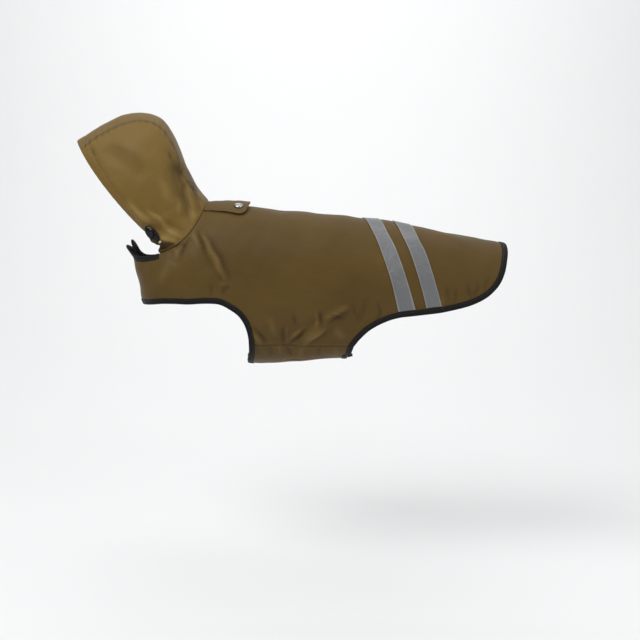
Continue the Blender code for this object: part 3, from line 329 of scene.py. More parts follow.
def fold_height(point, *tables):
    """Height of the large folds at points of the bare surface."""
    height = np.zeros(point.shape[:-1])
    for fold, _, on_side, along, off in folds_over(point, tables, FOLD_COLUMNS, FOLD_SIDE_REACH):
        taper = smooth_step(along * FOLD_END_RATE + FOLD_END_SHARE)
        taper = taper * smooth_step((1 - along) * FOLD_END_RATE + FOLD_END_SHARE)
        height = height + on_side * fold["height"] * taper * np.exp(-(off / fold["width"]) ** 2)
    return height


def lap_lift(ring, girth):
    """How far the left front and strap end lie off the right ones, and how far its corner turns."""
    degrees = np.degrees(-girth)
    near_lap = smooth_step((degrees - LAP_FROM) / LAP_OVER)
    above = np.clip(-ring, 0, 2)
    turned = smooth_step((degrees - TURN_FROM) / LAP_OVER) * above ** 2 / (above + TURN_SOFTNESS)
    return near_lap * LAP_LIFT + turned * CORNER_FLARE, turned


def body_surface(ring, girth):
    """Inner face of the coat's body at ring number and signed girth angle."""
    ring, girth = np.broadcast_arrays(np.asarray(ring, float), np.asarray(girth, float))
    point = torso_point(ring, girth)
    normal = normals_of(torso_point, ring, girth)
    lift, turned = lap_lift(ring, girth)
    lift = lift + fold_height(point, BODY_FOLDS_LEFT, BODY_FOLDS_RIGHT)
    return point + normal * lift[..., None] - turned[..., None] * np.array([0.0, 0.0, CORNER_DROP])


def on_torso(side_points):
    """Ring number and girth angle of points given by x and z as seen from the side."""
    rings = np.linspace(FIRST_RING, FIRST_RING + len(TORSO_RINGS) - 1, 1801)
    t = torso_values(rings)
    chord_x, chord_z = t["foot_x"] - t["top_x"], t["foot_z"] - t["top_z"]
    length = np.hypot(chord_x, chord_z)
    found = []
    for x, z in side_points:
        dx, dz = x - t["top_x"], z - t["top_z"]
        fraction = (dx * chord_x + dz * chord_z) / length ** 2
        off = (dz * chord_x - dx * chord_z) / length
        miss = off - 4 * fraction * (1 - fraction) * t["bow"]
        turns = np.nonzero((miss[:-1] < 0) != (miss[1:] < 0))[0]
        turn = turns[-1]
        share = miss[turn] / (miss[turn] - miss[turn + 1])
        ring = rings[turn] + share * (rings[turn + 1] - rings[turn])
        part = fraction[turn] + share * (fraction[turn + 1] - fraction[turn])
        found.append((ring, math.acos(min(1.0, max(-1.0, 1 - 2 * part)))))
    return np.array(found)


# ---------------------------------------------------------------- flat pattern of the body
RING_NUMBERS = np.arange(len(TORSO_RINGS)) + FIRST_RING
SIDE_GIRTH = 1.7       # girth angle, radians, at which the rings' spacing is measured
RING_PLACES = run_along(torso_point(RING_NUMBERS.astype(float), np.full(len(TORSO_RINGS), SIDE_GIRTH)))


def to_flat(ring_girth):
    """Ring and girth to flat-pattern millimetres."""
    ring_girth = np.asarray(ring_girth, float)
    return np.stack([np.interp(ring_girth[..., 0], RING_NUMBERS, RING_PLACES),
                     ring_girth[..., 1] * GIRTH_SCALE], axis=-1)


def from_flat(flat):
    flat = np.asarray(flat, float)
    return np.stack([np.interp(flat[..., 0], RING_PLACES, RING_NUMBERS),
                     flat[..., 1] / GIRTH_SCALE], axis=-1)


def dense_line(rows):
    """Many points along a smooth line through rows, and their run on the coat."""
    dense = track(rows, np.linspace(0, len(rows) - 1, DENSE_STEPS))
    return dense, run_along(body_surface(dense[:, 0], dense[:, 1]))


def even_points(rows, step):
    """Points about one step apart, measured on the coat, along a smooth line through rows."""
    dense, run = dense_line(rows)
    count = max(2, int(round(run[-1] / step)) + 1)
    return read_rows(dense, run, np.linspace(0, run[-1], count))


def even_count(rows, count):
    """A given number of points along a smooth line, evenly spaced on the coat."""
    dense, run = dense_line(rows)
    return read_rows(dense, run, np.linspace(0, run[-1], count))


def inset_points(edge, width):
    """The right-hand edge's points moved in along the cloth, and the way out of the cloth."""
    point = body_surface(edge[:, 0], edge[:, 1])
    normal = normals_of(body_surface, edge[:, 0], edge[:, 1])
    run = np.gradient(point, axis=0)
    inward = np.cross(run, normal)
    inward /= np.linalg.norm(inward, axis=1, keepdims=True)
    ring, girth = edge[:, 0], edge[:, 1]
    step = 0.01
    along = (body_surface(ring + step, girth) - body_surface(ring - step, girth)) / (2 * step)
    around = (body_surface(ring, girth + step) - body_surface(ring, girth - step)) / (2 * step)
    aa, bb = np.sum(along * along, axis=1), np.sum(around * around, axis=1)
    ab = np.sum(along * around, axis=1)
    wa, wb = np.sum(along * inward, axis=1), np.sum(around * inward, axis=1)
    scale = width / (aa * bb - ab * ab)
    moved = edge + np.stack([(wa * bb - wb * ab) * scale, (wb * aa - wa * ab) * scale], axis=1)
    return moved, -inward


def inside(polygon, points):
    """Which flat points lie inside a closed flat polygon, in batches."""
    x0, y0 = polygon[:, 0], polygon[:, 1]
    x1, y1 = np.roll(x0, -1), np.roll(y0, -1)
    slope = (x1 - x0) / np.where(y1 == y0, 1.0, y1 - y0)
    found = []
    for batch in np.array_split(points, len(points) // 2000 + 1):
        x, y = batch[:, 0:1], batch[:, 1:2]
        hits = ((y0 > y) != (y1 > y)) & (x < slope * (y - y0) + x0)
        found.append(hits.sum(axis=1) % 2 == 1)
    return np.concatenate(found)


def grid_faces(columns, rows):
    """Quads of a grid whose points run row by row."""
    return [(i * rows + j, (i + 1) * rows + j, (i + 1) * rows + j + 1, i * rows + j + 1)
            for i in range(columns - 1) for j in range(rows - 1)]


# ---------------------------------------------------------------- cut edges
def signed(points, side):
    """Left-hand ring and girth points on the chosen side: -1 left, 1 right."""
    return points * np.array([1.0, side])


def body_edges():
    """One half's cut edges in order from the hood's corner to the top of the rump."""
    front = np.array([(ring, math.radians(degrees)) for ring, degrees in FRONT_EDGE])
    hem = on_torso(FRONT_HEM_AND_LEG)
    corner = even_points(front, CORNER_STEP)
    bound_front = np.concatenate([corner[:-1], even_points(np.concatenate([front[-1:], hem]), EDGE_STEP)])
    seam = even_points(on_torso(STRAP_SEAM), EDGE_STEP)
    rear = on_torso(REAR_CUT)
    rear[-1, 1] = 0.0
    return bound_front, seam, even_points(rear, EDGE_STEP)


def strap_edges():
    """The right strap's front edge down from the seam, and its rear edge back up to it."""
    first, last = STRAP_RINGS
    under = [math.radians(degrees) for degrees in (160.0, 180.0, STRAP_END_ANGLE)]
    front = np.concatenate([on_torso(STRAP_FRONT_EDGE), [(first, girth) for girth in under]])
    rear = np.concatenate([[(last, girth) for girth in reversed(under)], on_torso(STRAP_REAR_EDGE)])
    return even_points(front, EDGE_STEP), even_points(rear, EDGE_STEP)


# ---------------------------------------------------------------- hood
def hood_ring(row, share):
    """Points on one hood ring at signed shares 0 at the crown to 1 at the front corner."""
    ring = dict(zip(HOOD_RING_COLUMNS, row))
    last = math.pi - math.asin(HOOD_FOOT_DEPTH / ring["half_width"])
    angle = np.abs(share) * last
    fraction = (1 - np.cos(angle)) / (1 - math.cos(last))
    chord_x, chord_z = ring["foot_x"] - ring["top_x"], ring["foot_z"] - ring["top_z"]
    push = 4 * fraction * (1 - fraction) * ring["bow"] / math.hypot(chord_x, chord_z)
    return np.stack([ring["top_x"] + fraction * chord_x - push * chord_z,
                     np.sign(share) * ring["half_width"] * np.sin(angle),
                     ring["top_z"] + fraction * chord_z + push * chord_x], axis=-1)


def neck_ring(share):
    """The neck seam's curve, moved off the body's edge so that the walls clear each other."""
    girth = share * math.radians(HOOD_FOOT_ANGLE)
    zero = np.zeros_like(girth)
    point = torso_point(zero, girth)
    back = torso_point(zero + 0.05, girth) - point
    back /= np.linalg.norm(back, axis=-1, keepdims=True)
    off = SEAM_GAP + HOOD_CORNER_OFF * np.abs(share) ** HOOD_CORNER_POWER
    return point - back * off[..., None] + normals_of(torso_point, zero, girth) * HOOD_RISE


def hood_bare(place, share):
    """Bare hood surface: place 0 at the face edge to 1 at the neck seam."""
    place, share = np.broadcast_arrays(np.asarray(place, float), np.asarray(share, float))
    rings = np.stack([hood_ring(row, share) for row in HOOD_RINGS] + [neck_ring(share)])

    def ring_at(number):
        return np.take_along_axis(rings, number[None, ..., None], axis=0)[0]

    last = len(rings) - 1
    return smooth_between(ring_at, place * last, last)


def hood_surface(place, share):
    place, share = np.broadcast_arrays(np.asarray(place, float), np.asarray(share, float))
    point = hood_bare(place, share)
    normal = normals_of(hood_bare, place, share)
    height = fold_height(point, HOOD_FOLDS_LEFT, HOOD_FOLDS_RIGHT)
    rate, start = FACE_EDGE_CALM
    height = height * smooth_step((1 - place) * SEAM_CALM) * smooth_step(place * rate + start)
    return point + normal * height[..., None]


def crown_share(place):
    """Ring share of the crown strip's seam at each place along the hood."""
    halves = [row[-1] for row in HOOD_RINGS] + [CROWN_HALF_AT_NECK]
    wanted = track(halves, np.asarray(place) * (len(halves) - 1))
    shares = np.linspace(0, 0.6, 61)
    return np.array([np.interp(half, run_along(hood_bare(spot, shares)), shares)
                     for spot, half in zip(place, wanted)])


def side_shares(seam_share):
    """Ring shares of a hood side's points, crown seam to front corner."""
    start = seam_share + HOOD_SHARE_GAP
    return start + (1 - start) * np.linspace(0, 1, HOOD_SIDE_ROWS)


def crown_shares(seam_share):
    return (seam_share - HOOD_SHARE_GAP) * np.linspace(-1, 1, 2 * CROWN_HALF_ROWS + 1)


def neck_seam_girths():
    """Girth angles of the body's points along the neck seam, the same as the hood's."""
    seam = crown_share(np.array([1.0]))[0]
    crown = crown_shares(seam)
    crown[0], crown[-1] = -seam, seam
    side = side_shares(seam)[1:]
    shares = np.concatenate([-side[::-1], crown, side])
    return shares * math.radians(HOOD_FOOT_ANGLE)


# ---------------------------------------------------------------- body panel
class FlatPlan:
    """Points of a flat pattern and the lines that its triangles must follow."""

    def __init__(self):
        self.points = []
        self.lines = []

    def add(self, ring_girth):
        """Points given by ring and girth, joined in a row; returns their numbers."""
        first = len(self.points)
        self.points.extend(to_flat(ring_girth))
        numbers = list(range(first, len(self.points)))
        self.join(numbers)
        return numbers

    def join(self, numbers):
        self.lines.extend(zip(numbers[:-1], numbers[1:]))

    def polygon(self, numbers):
        return np.array([self.points[number] for number in numbers])


def rung_lines(edge, inset):
    """Lines across a bound edge, straight and slanting, as its binding is split."""
    return list(zip(edge, inset)) + list(zip(edge[:-1], inset[1:]))


def plan_half(plan, neck_corner, side):
    """One half's edges and their inset lines, from the hood's corner to beside the tail."""
    bound_front, seam, rear = body_edges()
    front_inset = signed(inset_points(bound_front, BINDING_WIDTH)[0], side)
    rear_inset = signed(inset_points(rear, BINDING_WIDTH)[0][:-1], side)
    front = [neck_corner] + plan.add(signed(bound_front[1:], side))
    plan.join(front[:2])
    ends = to_flat(np.array([front_inset[-1], rear_inset[0]]))
    between = [place for place in signed(seam[1:-1], side)
               if np.linalg.norm(ends - to_flat(place), axis=1).min() > SEAM_CLEARANCE
               and front_inset[-1, 0] < place[0] < rear_inset[0, 0]]
    half = dict(front=front, front_inset=plan.add(front_inset), rear=plan.add(signed(rear[:-1], side)),
                rear_inset=plan.add(rear_inset))
    seam = plan.add(np.array(between))
    half["seam"] = [half["front_inset"][-1]] + seam + [half["rear_inset"][0]]
    plan.join([front[-1]] + half["seam"] + [half["rear"][0]])
    plan.lines += rung_lines(front, half["front_inset"])
    plan.lines += rung_lines(half["rear"], half["rear_inset"])
    return half


def plan_tail(plan, halves):
    """The rear edge's middle, where the two halves meet at the top of the rump."""
    rear = body_edges()[2]
    edge = plan.add(rear[-1:])[0]
    inset = plan.add(inset_points(rear, BINDING_WIDTH)[0][-1:] * [1, 0])[0]
    plan.join([edge, inset])
    for half in halves:
        plan.lines += [(half["rear"][-1], edge), (half["rear"][-1], inset),
                       (half["rear_inset"][-1], inset)]
        half["rear"].append(edge)
        half["rear_inset"].append(inset)


def tape_borders(polygon):
    """Ring and girth along both borders of each tape, from the left hem over the ridge."""
    borders = {}
    for name, edges in TAPE_EDGES.items():
        lines = []
        for edge in edges:
            rows = on_torso(edge)
            rows[0, 1] = 0.0
            dense = track(rows, np.linspace(0, len(rows) - 1, DENSE_STEPS))
            leaves = np.argmin(inside(polygon, to_flat(signed(dense, -1))))
            reach = dense[:leaves]
            run = run_along(body_surface(reach[:, 0], -reach[:, 1]))
            end = run[-1] - TAPE_END_GAP
            half = read_rows(reach, run, np.linspace(0, end, int(round(end / EDGE_STEP)) + 1))
            lines.append(np.concatenate([signed(half[::-1], -1), half[1:]]))
        count = min(len(line) for line in lines)
        borders[name] = [line[np.linspace(0, len(line) - 1, count).round().astype(int)]
                         for line in lines]
    return borders


def plan_tapes(plan, polygon):
    """Both borders and the middle line of each tape, which the panel's triangles follow."""
    for fore, aft in tape_borders(polygon).values():
        rails = [plan.add(line) for line in (fore, (fore + aft) / 2, aft)]
        for end in (0, -1):
            plan.join([rail[end] for rail in rails])


def fill_points(plan, outline, polygon):
    """Evenly spread points inside the panel, clear of the plan's own points."""
    low, high = outline.min(axis=0), outline.max(axis=0)
    last_row = math.ceil(high[1] / (GRID * HEX_ROW))
    spread = []
    for row in range(-last_row, last_row + 1):
        start = low[0] + (GRID / 2 if row % 2 else 0)
        spread += [(x, row * GRID * HEX_ROW) for x in np.arange(start, high[0], GRID)]
    spread = np.array(spread)
    spread = spread[inside(polygon, spread)]
    fixed = np.array(plan.points)
    clear = [np.hypot(*(fixed - point).T).min() > GRID * FILL_CLEARANCE for point in spread]
    return spread[np.array(clear)]


def plan_body():
    """The back panel's flat plan, its outline and the area inside its bindings."""
    plan = FlatPlan()
    girths = neck_seam_girths()
    neck = plan.add(np.stack([np.zeros(len(girths)), girths], axis=-1))
    right = plan_half(plan, neck[-1], 1)
    left = plan_half(plan, neck[0], -1)
    plan_tail(plan, (left, right))
    outline = (neck + right["front"][1:] + right["seam"] + right["rear"]
               + left["rear"][-2::-1] + left["seam"][::-1] + left["front"][:0:-1])
    within = (neck + right["front_inset"] + right["seam"][1:-1] + right["rear_inset"]
              + left["rear_inset"][-2::-1] + left["seam"][-2:0:-1] + left["front_inset"][::-1])
    plan_tapes(plan, plan.polygon(within))
    return plan, plan.polygon(outline), plan.polygon(within)


def strap_rows():
    """Ring and girth of the right strap's points, one row after another from the seam down."""
    front, rear = strap_edges()
    count = min(len(front), len(rear))
    front, rear = even_count(front, count), even_count(rear, count)
    front_inset, _ = inset_points(front, BINDING_WIDTH)
    rear_inset, _ = inset_points(rear, BINDING_WIDTH)
    rear, rear_inset = rear[::-1], rear_inset[::-1]
    shares = np.linspace(0, 1, STRAP_ACROSS)[:, None]
    seam = even_count(on_torso(STRAP_SEAM), STRAP_SEAM_POINTS)
    seam[:, 1] += STRAP_SEAM_GAP / GIRTH_SCALE
    straight = front_inset[0] + shares * (rear_inset[0] - front_inset[0])
    rows = []
    for j in range(count):
        middle = front_inset[j] + shares * (rear_inset[j] - front_inset[j])
        near_seam = max(0.0, 1 - STRAP_SEAM_FADE * j / count)
        middle[:, 1] += near_seam * (np.interp(middle[:, 0], seam[:, 0], seam[:, 1]) - straight[:, 1])
        rows.append(np.concatenate([[front[j]], middle, [rear[j]]]))
    return np.concatenate(rows), count


def tab_value(name, along):
    rows = np.array(TAB_ROWS)
    return np.interp(along, rows[:, TAB_COLUMNS.index("along")], rows[:, TAB_COLUMNS.index(name)])


def tab_height(along, across):
    """Height of the tab's underside over the back's cloth."""
    far, near = tab_value("far_lift", along), tab_value("near_lift", along)
    return far + (near - far) * (across + 1) / 2


def tab_point(along, across):
    """Underside of the tab: across is -1 at its far edge and 1 at its near, left edge."""
    rings = np.linspace(0, TAB_LAST_RING, DENSE_STEPS)
    ring = np.interp(TAB_START_X + along, torso_values(rings)["top_x"], rings)
    half_width = tab_value("half_width", along)
    girth = math.radians(TAB_CENTRE_DEGREES) - across * half_width / TAB_GIRTH_RADIUS
    point = body_surface(ring, girth)
    normal = normals_of(body_surface, ring, girth)
    return point + normal * (CLOTH + tab_height(along, across))[..., None], normal


def tab_frame():
    """Centre of the snap on the tab's underside, and the way up there."""
    def spot(along, across):
        return tab_point(np.array([along]), np.array([across]))[0][0]

    centre = spot(SNAP_ALONG, SNAP_ACROSS)
    up = np.cross(spot(SNAP_ALONG, SNAP_ACROSS - 0.3) - centre,
                  spot(SNAP_ALONG - 3.0, SNAP_ACROSS) - centre)
    up /= np.linalg.norm(up)
    return centre, up if up[2] > 0 else -up


def lock_frame(side):
    """Seat of the cord lock on the hood, its way out and its long way down the face edge."""
    place, share = np.array([LOCK_PLACE]), np.array([side * LOCK_SHARE])
    point = hood_surface(place, share)[0]
    down = hood_surface(place, share * 1.08)[0] - hood_surface(place, share * 0.92)[0]
    along = hood_surface(place + 0.1, share)[0] - hood_surface(place - 0.1, share)[0]
    normal = np.cross(down, along)
    normal *= side * np.sign(normal[1]) / np.linalg.norm(normal)
    long_way = np.array(LOCK_LONG_WAY) - normal * np.dot(LOCK_LONG_WAY, normal)
    return point, normal, long_way / np.linalg.norm(long_way)


# ---------------------------------------------------------------- small creases
CREASE_COLUMNS = ("x0", "z0", "x1", "z1", "bow", "width", "height")
BODY_CREASES_LEFT = (
    # gathers that the belly seam pulls up
    (35, -190, 52, -211, 0, 3.5, -2), (31, -194, 46, -212, 0, 3.5, 1.5),
    (80, -189, 80, -215, 0, 4, -1.6), (85, -190, 83, -209, 0, 2.4, 1.2),
    (89, -214, 117, -190, 0, 3.5, -2.6), (85, -212, 113, -188, 0, 3.2, 1.9),
    (112, -212, 145, -190, 0, 6, 2), (119, -215, 150, -192, 0, 3.2, -1.8),
    (145, -175, 177, -158, 0, 3.2, 1.7), (148, -180, 179, -163, 0, 3.5, -1.7),
    (95, -171, 99, -184, 0, 2.8, -1.2), (131, -165, 131, -186, 0, 2.6, 1.3),
    (136, -166, 138, -189, 0, 4, -1.6), (153, -172, 174, -175, 0, 2.8, -1.2),
    (224, -151, 222, -177, 5, 2.8, -1.2), (60, -174, 66, -201, 0, 5, 0.9),
    (159, -192, 174, -204, 0, 6, 0.9),
    # from the hood down over the shoulder and the chest
    (-46, -43, -8, -116, 3, 4.5, 1.9), (-40, -43, -1, -113, 3, 4, -1.9),
    (-60, -41, -48, -67, 0, 4, 1.3), (-54, -40, -37, -73, 0, 3.5, -1.3),
    (-67, -55, -79, -79, 0, 3.2, -1.8), (-74, -61, -86, -84, 0, 4, 1.1),
    (-11, -125, -11, -137, 0, 2.6, -1.3), (-3, -123, -5, -131, 0, 2.6, -1.1),
    (-29, -125, -29, -137, 0, 2.8, -0.9), (-16, -122, 1, -121, 0, 2.6, 1),
    (-17, -112, -15, -116, 0, 2.6, -0.8), (-95, -88, -108, -122, 0, 6, 0.7),
    # along the rear binding
    (329, -127, 332, -145, 0, 2.8, -0.9), (344, -131, 341, -150, 0, 2.8, -0.9),
    (361, -125, 366, -143, 0, 3, -1), (377, -122, 372, -142, 0, 2.8, -0.9),
    (391, -114, 387, -133, 0, 3, -0.9), (320, -140, 323, -156, 0, 3, 0.8),
    (306, -146, 309, -160, 0, 2.8, -0.7), (206, -146, 197, -180, 0, 4, -0.8),
    (185, -154, 193, -174, 0, 3.2, -0.9),
    # on the strap, just under the belly seam
    (38, -217, 40, -229, 0, 2.8, -1), (58, -218, 61, -232, 0, 3, -1.1),
    (74, -218, 73, -228, 0, 2.8, 0.9), (86, -219, 90, -234, 0, 3.2, -1.2),
    (108, -220, 104, -236, 0, 4, 0.8), (136, -220, 133, -231, 0, 3, -1),
    (160, -220, 163, -230, 0, 3.5, 0.7),
)
BODY_CREASES_RIGHT = (
    (38, -186, 50, -211, 0, 3.6, -1.8), (30, -192, 41, -210, 0, 3.5, 1.3),
    (72, -186, 75, -214, 0, 4, -1.7), (94, -213, 119, -184, 0, 3.6, -2.3),
    (87, -210, 110, -183, 0, 3.4, 1.8), (124, -214, 158, -186, 0, 4, -1.7),
    (117, -211, 149, -184, 0, 5, 1.7), (150, -176, 182, -163, 0, 3.4, -1.4),
    (102, -168, 104, -182, 0, 3, -1.2), (139, -163, 141, -183, 0, 3.4, -1.3),
    (216, -148, 219, -176, 4, 3, -1.2), (56, -176, 61, -199, 0, 5, 1),
    (-50, -45, -16, -104, 4, 4.2, 1.7), (-43, -44, -10, -102, 4, 4, -1.6),
    (-64, -50, -70, -82, 0, 3.4, -1.6), (-57, -44, -51, -74, 0, 4, 1.2),
    (-20, -124, -18, -138, 0, 2.8, -1.1), (-8, -120, -6, -134, 0, 2.8, -1),
    (-90, -92, -101, -124, 0, 6, 0.8), (325, -130, 327, -148, 0, 2.8, -0.9),
    (351, -128, 349, -147, 0, 3, -1), (370, -121, 374, -139, 0, 2.8, -0.8),
    (386, -116, 383, -134, 0, 3, -0.9), (192, -150, 199, -176, 0, 3.6, -0.9),
    (44, -217, 47, -230, 0, 3, -1), (70, -218, 68, -231, 0, 3, -1.1),
    (97, -219, 100, -234, 0, 3.4, -1.1), (129, -220, 127, -232, 0, 3.2, -1),
)
HOOD_CREASES_LEFT = (
    (-189, 89, -132, 55, 6, 8, -0.6), (-216, 85, -211, 74, 0, 2.8, -0.9),
    (-95, 76, -93, 66, 0, 2.8, -1.2), (-129, -11, -99, -34, 2, 3.2, 1.4),
    (-121, -9, -93, -32, 0, 3, -0.5), (-105, -34, -74, -55, 0, 3.5, 1.4),
    (-100, -26, -70, -44, 0, 3.5, -0.5), (-158, 0, -125, -28, 0, 5, 1.5),
    (-149, 1, -122, -19, 0, 4, -0.4), (-64, 21, -43, -4, 0, 4.5, 1.4),
    (-70, 33, -46, -5, 0, 3.2, -1.2), (-90, 59, -79, 39, 0, 3.2, -0.8),
    (-81, 6, -79, -15, 0, 4, 0.9), (-108, 36, -91, 0, 0, 7, 0.8),
    # steep side of the large fold, and the facet behind it
    (-88, 62, -64, -34, 2, 3.6, -1.3), (-81, 58, -55, -28, 1, 5, 1.6),
    # the roll over the front end of the neck seam, tucked in below
    (-126, -54, -84, -57, 0, 4.6, 2.8), (-128, -67, -98, -67, 0, 6, -3.6),
)
HOOD_CREASES_RIGHT = (
    (-183, 84, -128, 50, 6, 6, -1.7), (-212, 82, -206, 70, 0, 3, -0.9),
    (-98, 73, -95, 60, 0, 3, -1.1), (-126, -14, -96, -38, 2, 3.4, 1.3),
    (-118, -10, -90, -33, 0, 3.2, -1.1), (-102, -38, -76, -57, 0, 3.6, 1.3),
    (-155, 5, -124, -22, 0, 5, 1.3), (-147, 4, -120, -15, 0, 4, -0.9),
    (-67, 24, -46, -3, 0, 4.4, 1.3), (-73, 30, -50, -6, 0, 3.4, -1.1),
    (-92, 56, -81, 34, 0, 3.4, -1.4), (-111, 40, -94, 4, 0, 7, 0.9),
    (-89, 54, -68, -32, 3, 5, -3.2), (-80, 50, -58, -24, 1, 5.5, 2.2),
    (-126, -52, -84, -52, 0, 6, 2.2), (-124, -67, -96, -66, 0, 6, -2.4),
)
CREASE_SIDE_REACH = 12.0         # a side's creases fade out this far from the centre line
CREASE_GAIN = 1.5                # all creases together, against their measured heights
CREASE_END = 4.0                 # a crease dies out this far past its ends
CREASE_WANDER = 0.7              # and strays this far from its line
CREASE_WANDER_RUN = 4.7          # over this much of its length
CREASE_TAPER = 0.8               # below 1, it keeps its height nearer to its ends
CREASE_PROFILE = 1.6             # below 2, its crest is sharper than a bell's
CREASE_BOW_SHAPE = 4.0           # a bowed crease leaves its chord by its bow at the middle

# Soft unevenness of worn cloth: wavelength and height in millimetres, added in a few directions.
RIPPLES = ((62.0, 0.6), (27.0, 0.2), (12.0, 0.05))
RIPPLE_WAYS = 7
RIPPLE_SEED = 11

PUCKER_WAVE = 11.0               # from one pucker to the next along a seam
PUCKER_HEIGHT = 0.75
PUCKER_REACH = 8.0               # how far from the seam a pucker dies out
BODY_NECK_PUCKER_REACH = 11.0    # on the body's side of the neck seam
HOOD_NECK_PUCKER = (0.45, 10.0)  # height and reach of those on the hood's side
SEAM_GROOVE = (1.3, 1.9)         # depth and half width of the dip along a seam
BODY_NECK_CALM = (9.0, 0.15)     # the body's creases grow over this run from the neck seam
HOOD_FACE_CALM = (9.0, 0.1)      # the hood's over this run from the face edge
HOOD_NECK_CALM = (6.0, 0.05)     # and over this run from the neck seam
HOOD_CALM_LEAST = 0.18           # share of the hood's creases that is left at its edges
SEAM_FREE = 5.0                  # puckers at the neck grow over this run from the seam
CASING_WIDTH = 15.0              # hem round the face that the drawcord runs in
CASING_GROOVE = (0.5, 1.6)       # depth and half width of its row of stitches
CASING_PUFF = 0.5                # how far the casing stands out between its edges
CASING_WAVE = 9.0                # from one gather of the casing to the next
CASING_WAVE_HEIGHT = 0.18
CASING_FADE = (0.93, 0.1)        # share of a ring where the casing ends, and how softly
CREASE_SHADE = 2.6               # a crease this deep gets the full painted shade of a hollow
FOLD_SHADE = 0.02                # and each millimetre of a large fold this share of it


def crease_height(point, *tables):
    """Height of the small creases at points of the smooth surface."""
    height = np.zeros(point.shape[:-1])
    for crease, length, on_side, along, off in folds_over(point, tables, CREASE_COLUMNS,
                                                          CREASE_SIDE_REACH):
        part = np.clip(along, 0, 1)
        bow = CREASE_BOW_SHAPE * part * (1 - part) * crease["bow"]
        bow = bow + CREASE_WANDER * np.sin(along * length / CREASE_WANDER_RUN + crease["x0"])
        reach = CREASE_END / length
        taper = np.sin(math.pi * np.clip((along + reach) / (1 + 2 * reach), 0, 1)) ** CREASE_TAPER
        profile = np.exp(-(np.abs(off - bow) / crease["width"]) ** CREASE_PROFILE)
        height = height + on_side * CREASE_GAIN * crease["height"] * taper * profile
    return height


def ripple(point, seed=RIPPLE_SEED):
    """Soft waves in a few fixed directions."""
    chance = np.random.default_rng(seed)
    height = np.zeros(point.shape[:-1])
    for wave, amount in RIPPLES:
        for _ in range(RIPPLE_WAYS):
            way = chance.normal(size=3)
            way *= 2 * math.pi / (wave * np.linalg.norm(way))
            height += amount / RIPPLE_WAYS ** 0.5 * np.sin(point @ way + chance.uniform(0, 2 * math.pi))
    return height


def calmed(off, run, start):
    """How much of the creases is left at a distance off an edge or seam."""
    return smooth_step(off / run + start)


def pucker(along, off, height=PUCKER_HEIGHT, reach=PUCKER_REACH):
    """Uneven puckers beside a seam: distance along it and off it."""
    wave = np.sin(2 * math.pi * along / PUCKER_WAVE + 1.7 * np.sin(along / 17.0) + np.sin(along / 7.3))
    uneven = 0.65 + 0.35 * np.sin(along / 23.0 + 1.0)
    return height * wave * uneven * np.exp(-(off / reach) ** 2)


def creased_body(ring, girth):
    """Inner face of the body's cloth with its creases, the way out, and the painted shade of its creases,
    negative where their crests get a painted highlight.
    """
    point = body_surface(ring, girth)
    normal = normals_of(body_surface, ring, girth)
    height = crease_height(point, BODY_CREASES_LEFT, BODY_CREASES_RIGHT)
    from_neck = np.interp(ring, RING_NUMBERS, RING_PLACES) - RING_PLACES[-FIRST_RING]
    behind_seam = smooth_step((from_neck + 2.0) / 4.0)
    under_hood = smooth_step((math.radians(HOOD_FOOT_ANGLE) - np.abs(girth)) * 6)
    calm = calmed(np.abs(from_neck), *BODY_NECK_CALM)
    puckers = pucker(girth * GIRTH_SCALE, from_neck, reach=BODY_NECK_PUCKER_REACH)
    height = height * calm + puckers * behind_seam * under_hood * calmed(np.abs(from_neck), SEAM_FREE, 0)
    # painted shade where the creases dip in, painted highlight (negative) where they stand out
    shade = np.clip(-height / CREASE_SHADE, -1, 1)
    return point + normal * (height + ripple(point) * calm)[..., None], normal, shade


def worn_body(ring, girth):
    return creased_body(ring, girth)[:2]


def crown_seam_at(place):
    return np.interp(place, HOOD_PLACES, CROWN_SEAM)


def crown_seam_height(place, share):
    """The dip along a crown seam, and the puckers beside it."""
    off = (np.abs(share) - crown_seam_at(place)) * HOOD_RING_LENGTH
    depth, width = SEAM_GROOVE
    puckers = pucker(place * HOOD_SEAM_LENGTH + 3.0 * np.sign(share), off)
    return puckers - depth * np.exp(-(off / width) ** 2)


def casing_heights(from_face, down):
    """The face edge's casing: its stitched dip with small gathers, and how it stands out."""
    depth, width = CASING_GROOVE
    hem = -depth * np.exp(-((from_face - CASING_WIDTH) / width) ** 2)
    waves = CASING_WAVE_HEIGHT * np.sin(2 * math.pi * down / CASING_WAVE + 1.3 * np.sin(down / 13.0))
    waves = waves * np.exp(-((from_face - 0.6 * CASING_WIDTH) / CASING_WIDTH) ** 2)
    puff = CASING_PUFF * np.sin(math.pi * np.clip(from_face / CASING_WIDTH, 0, 1)) ** 0.8
    return hem + waves, puff


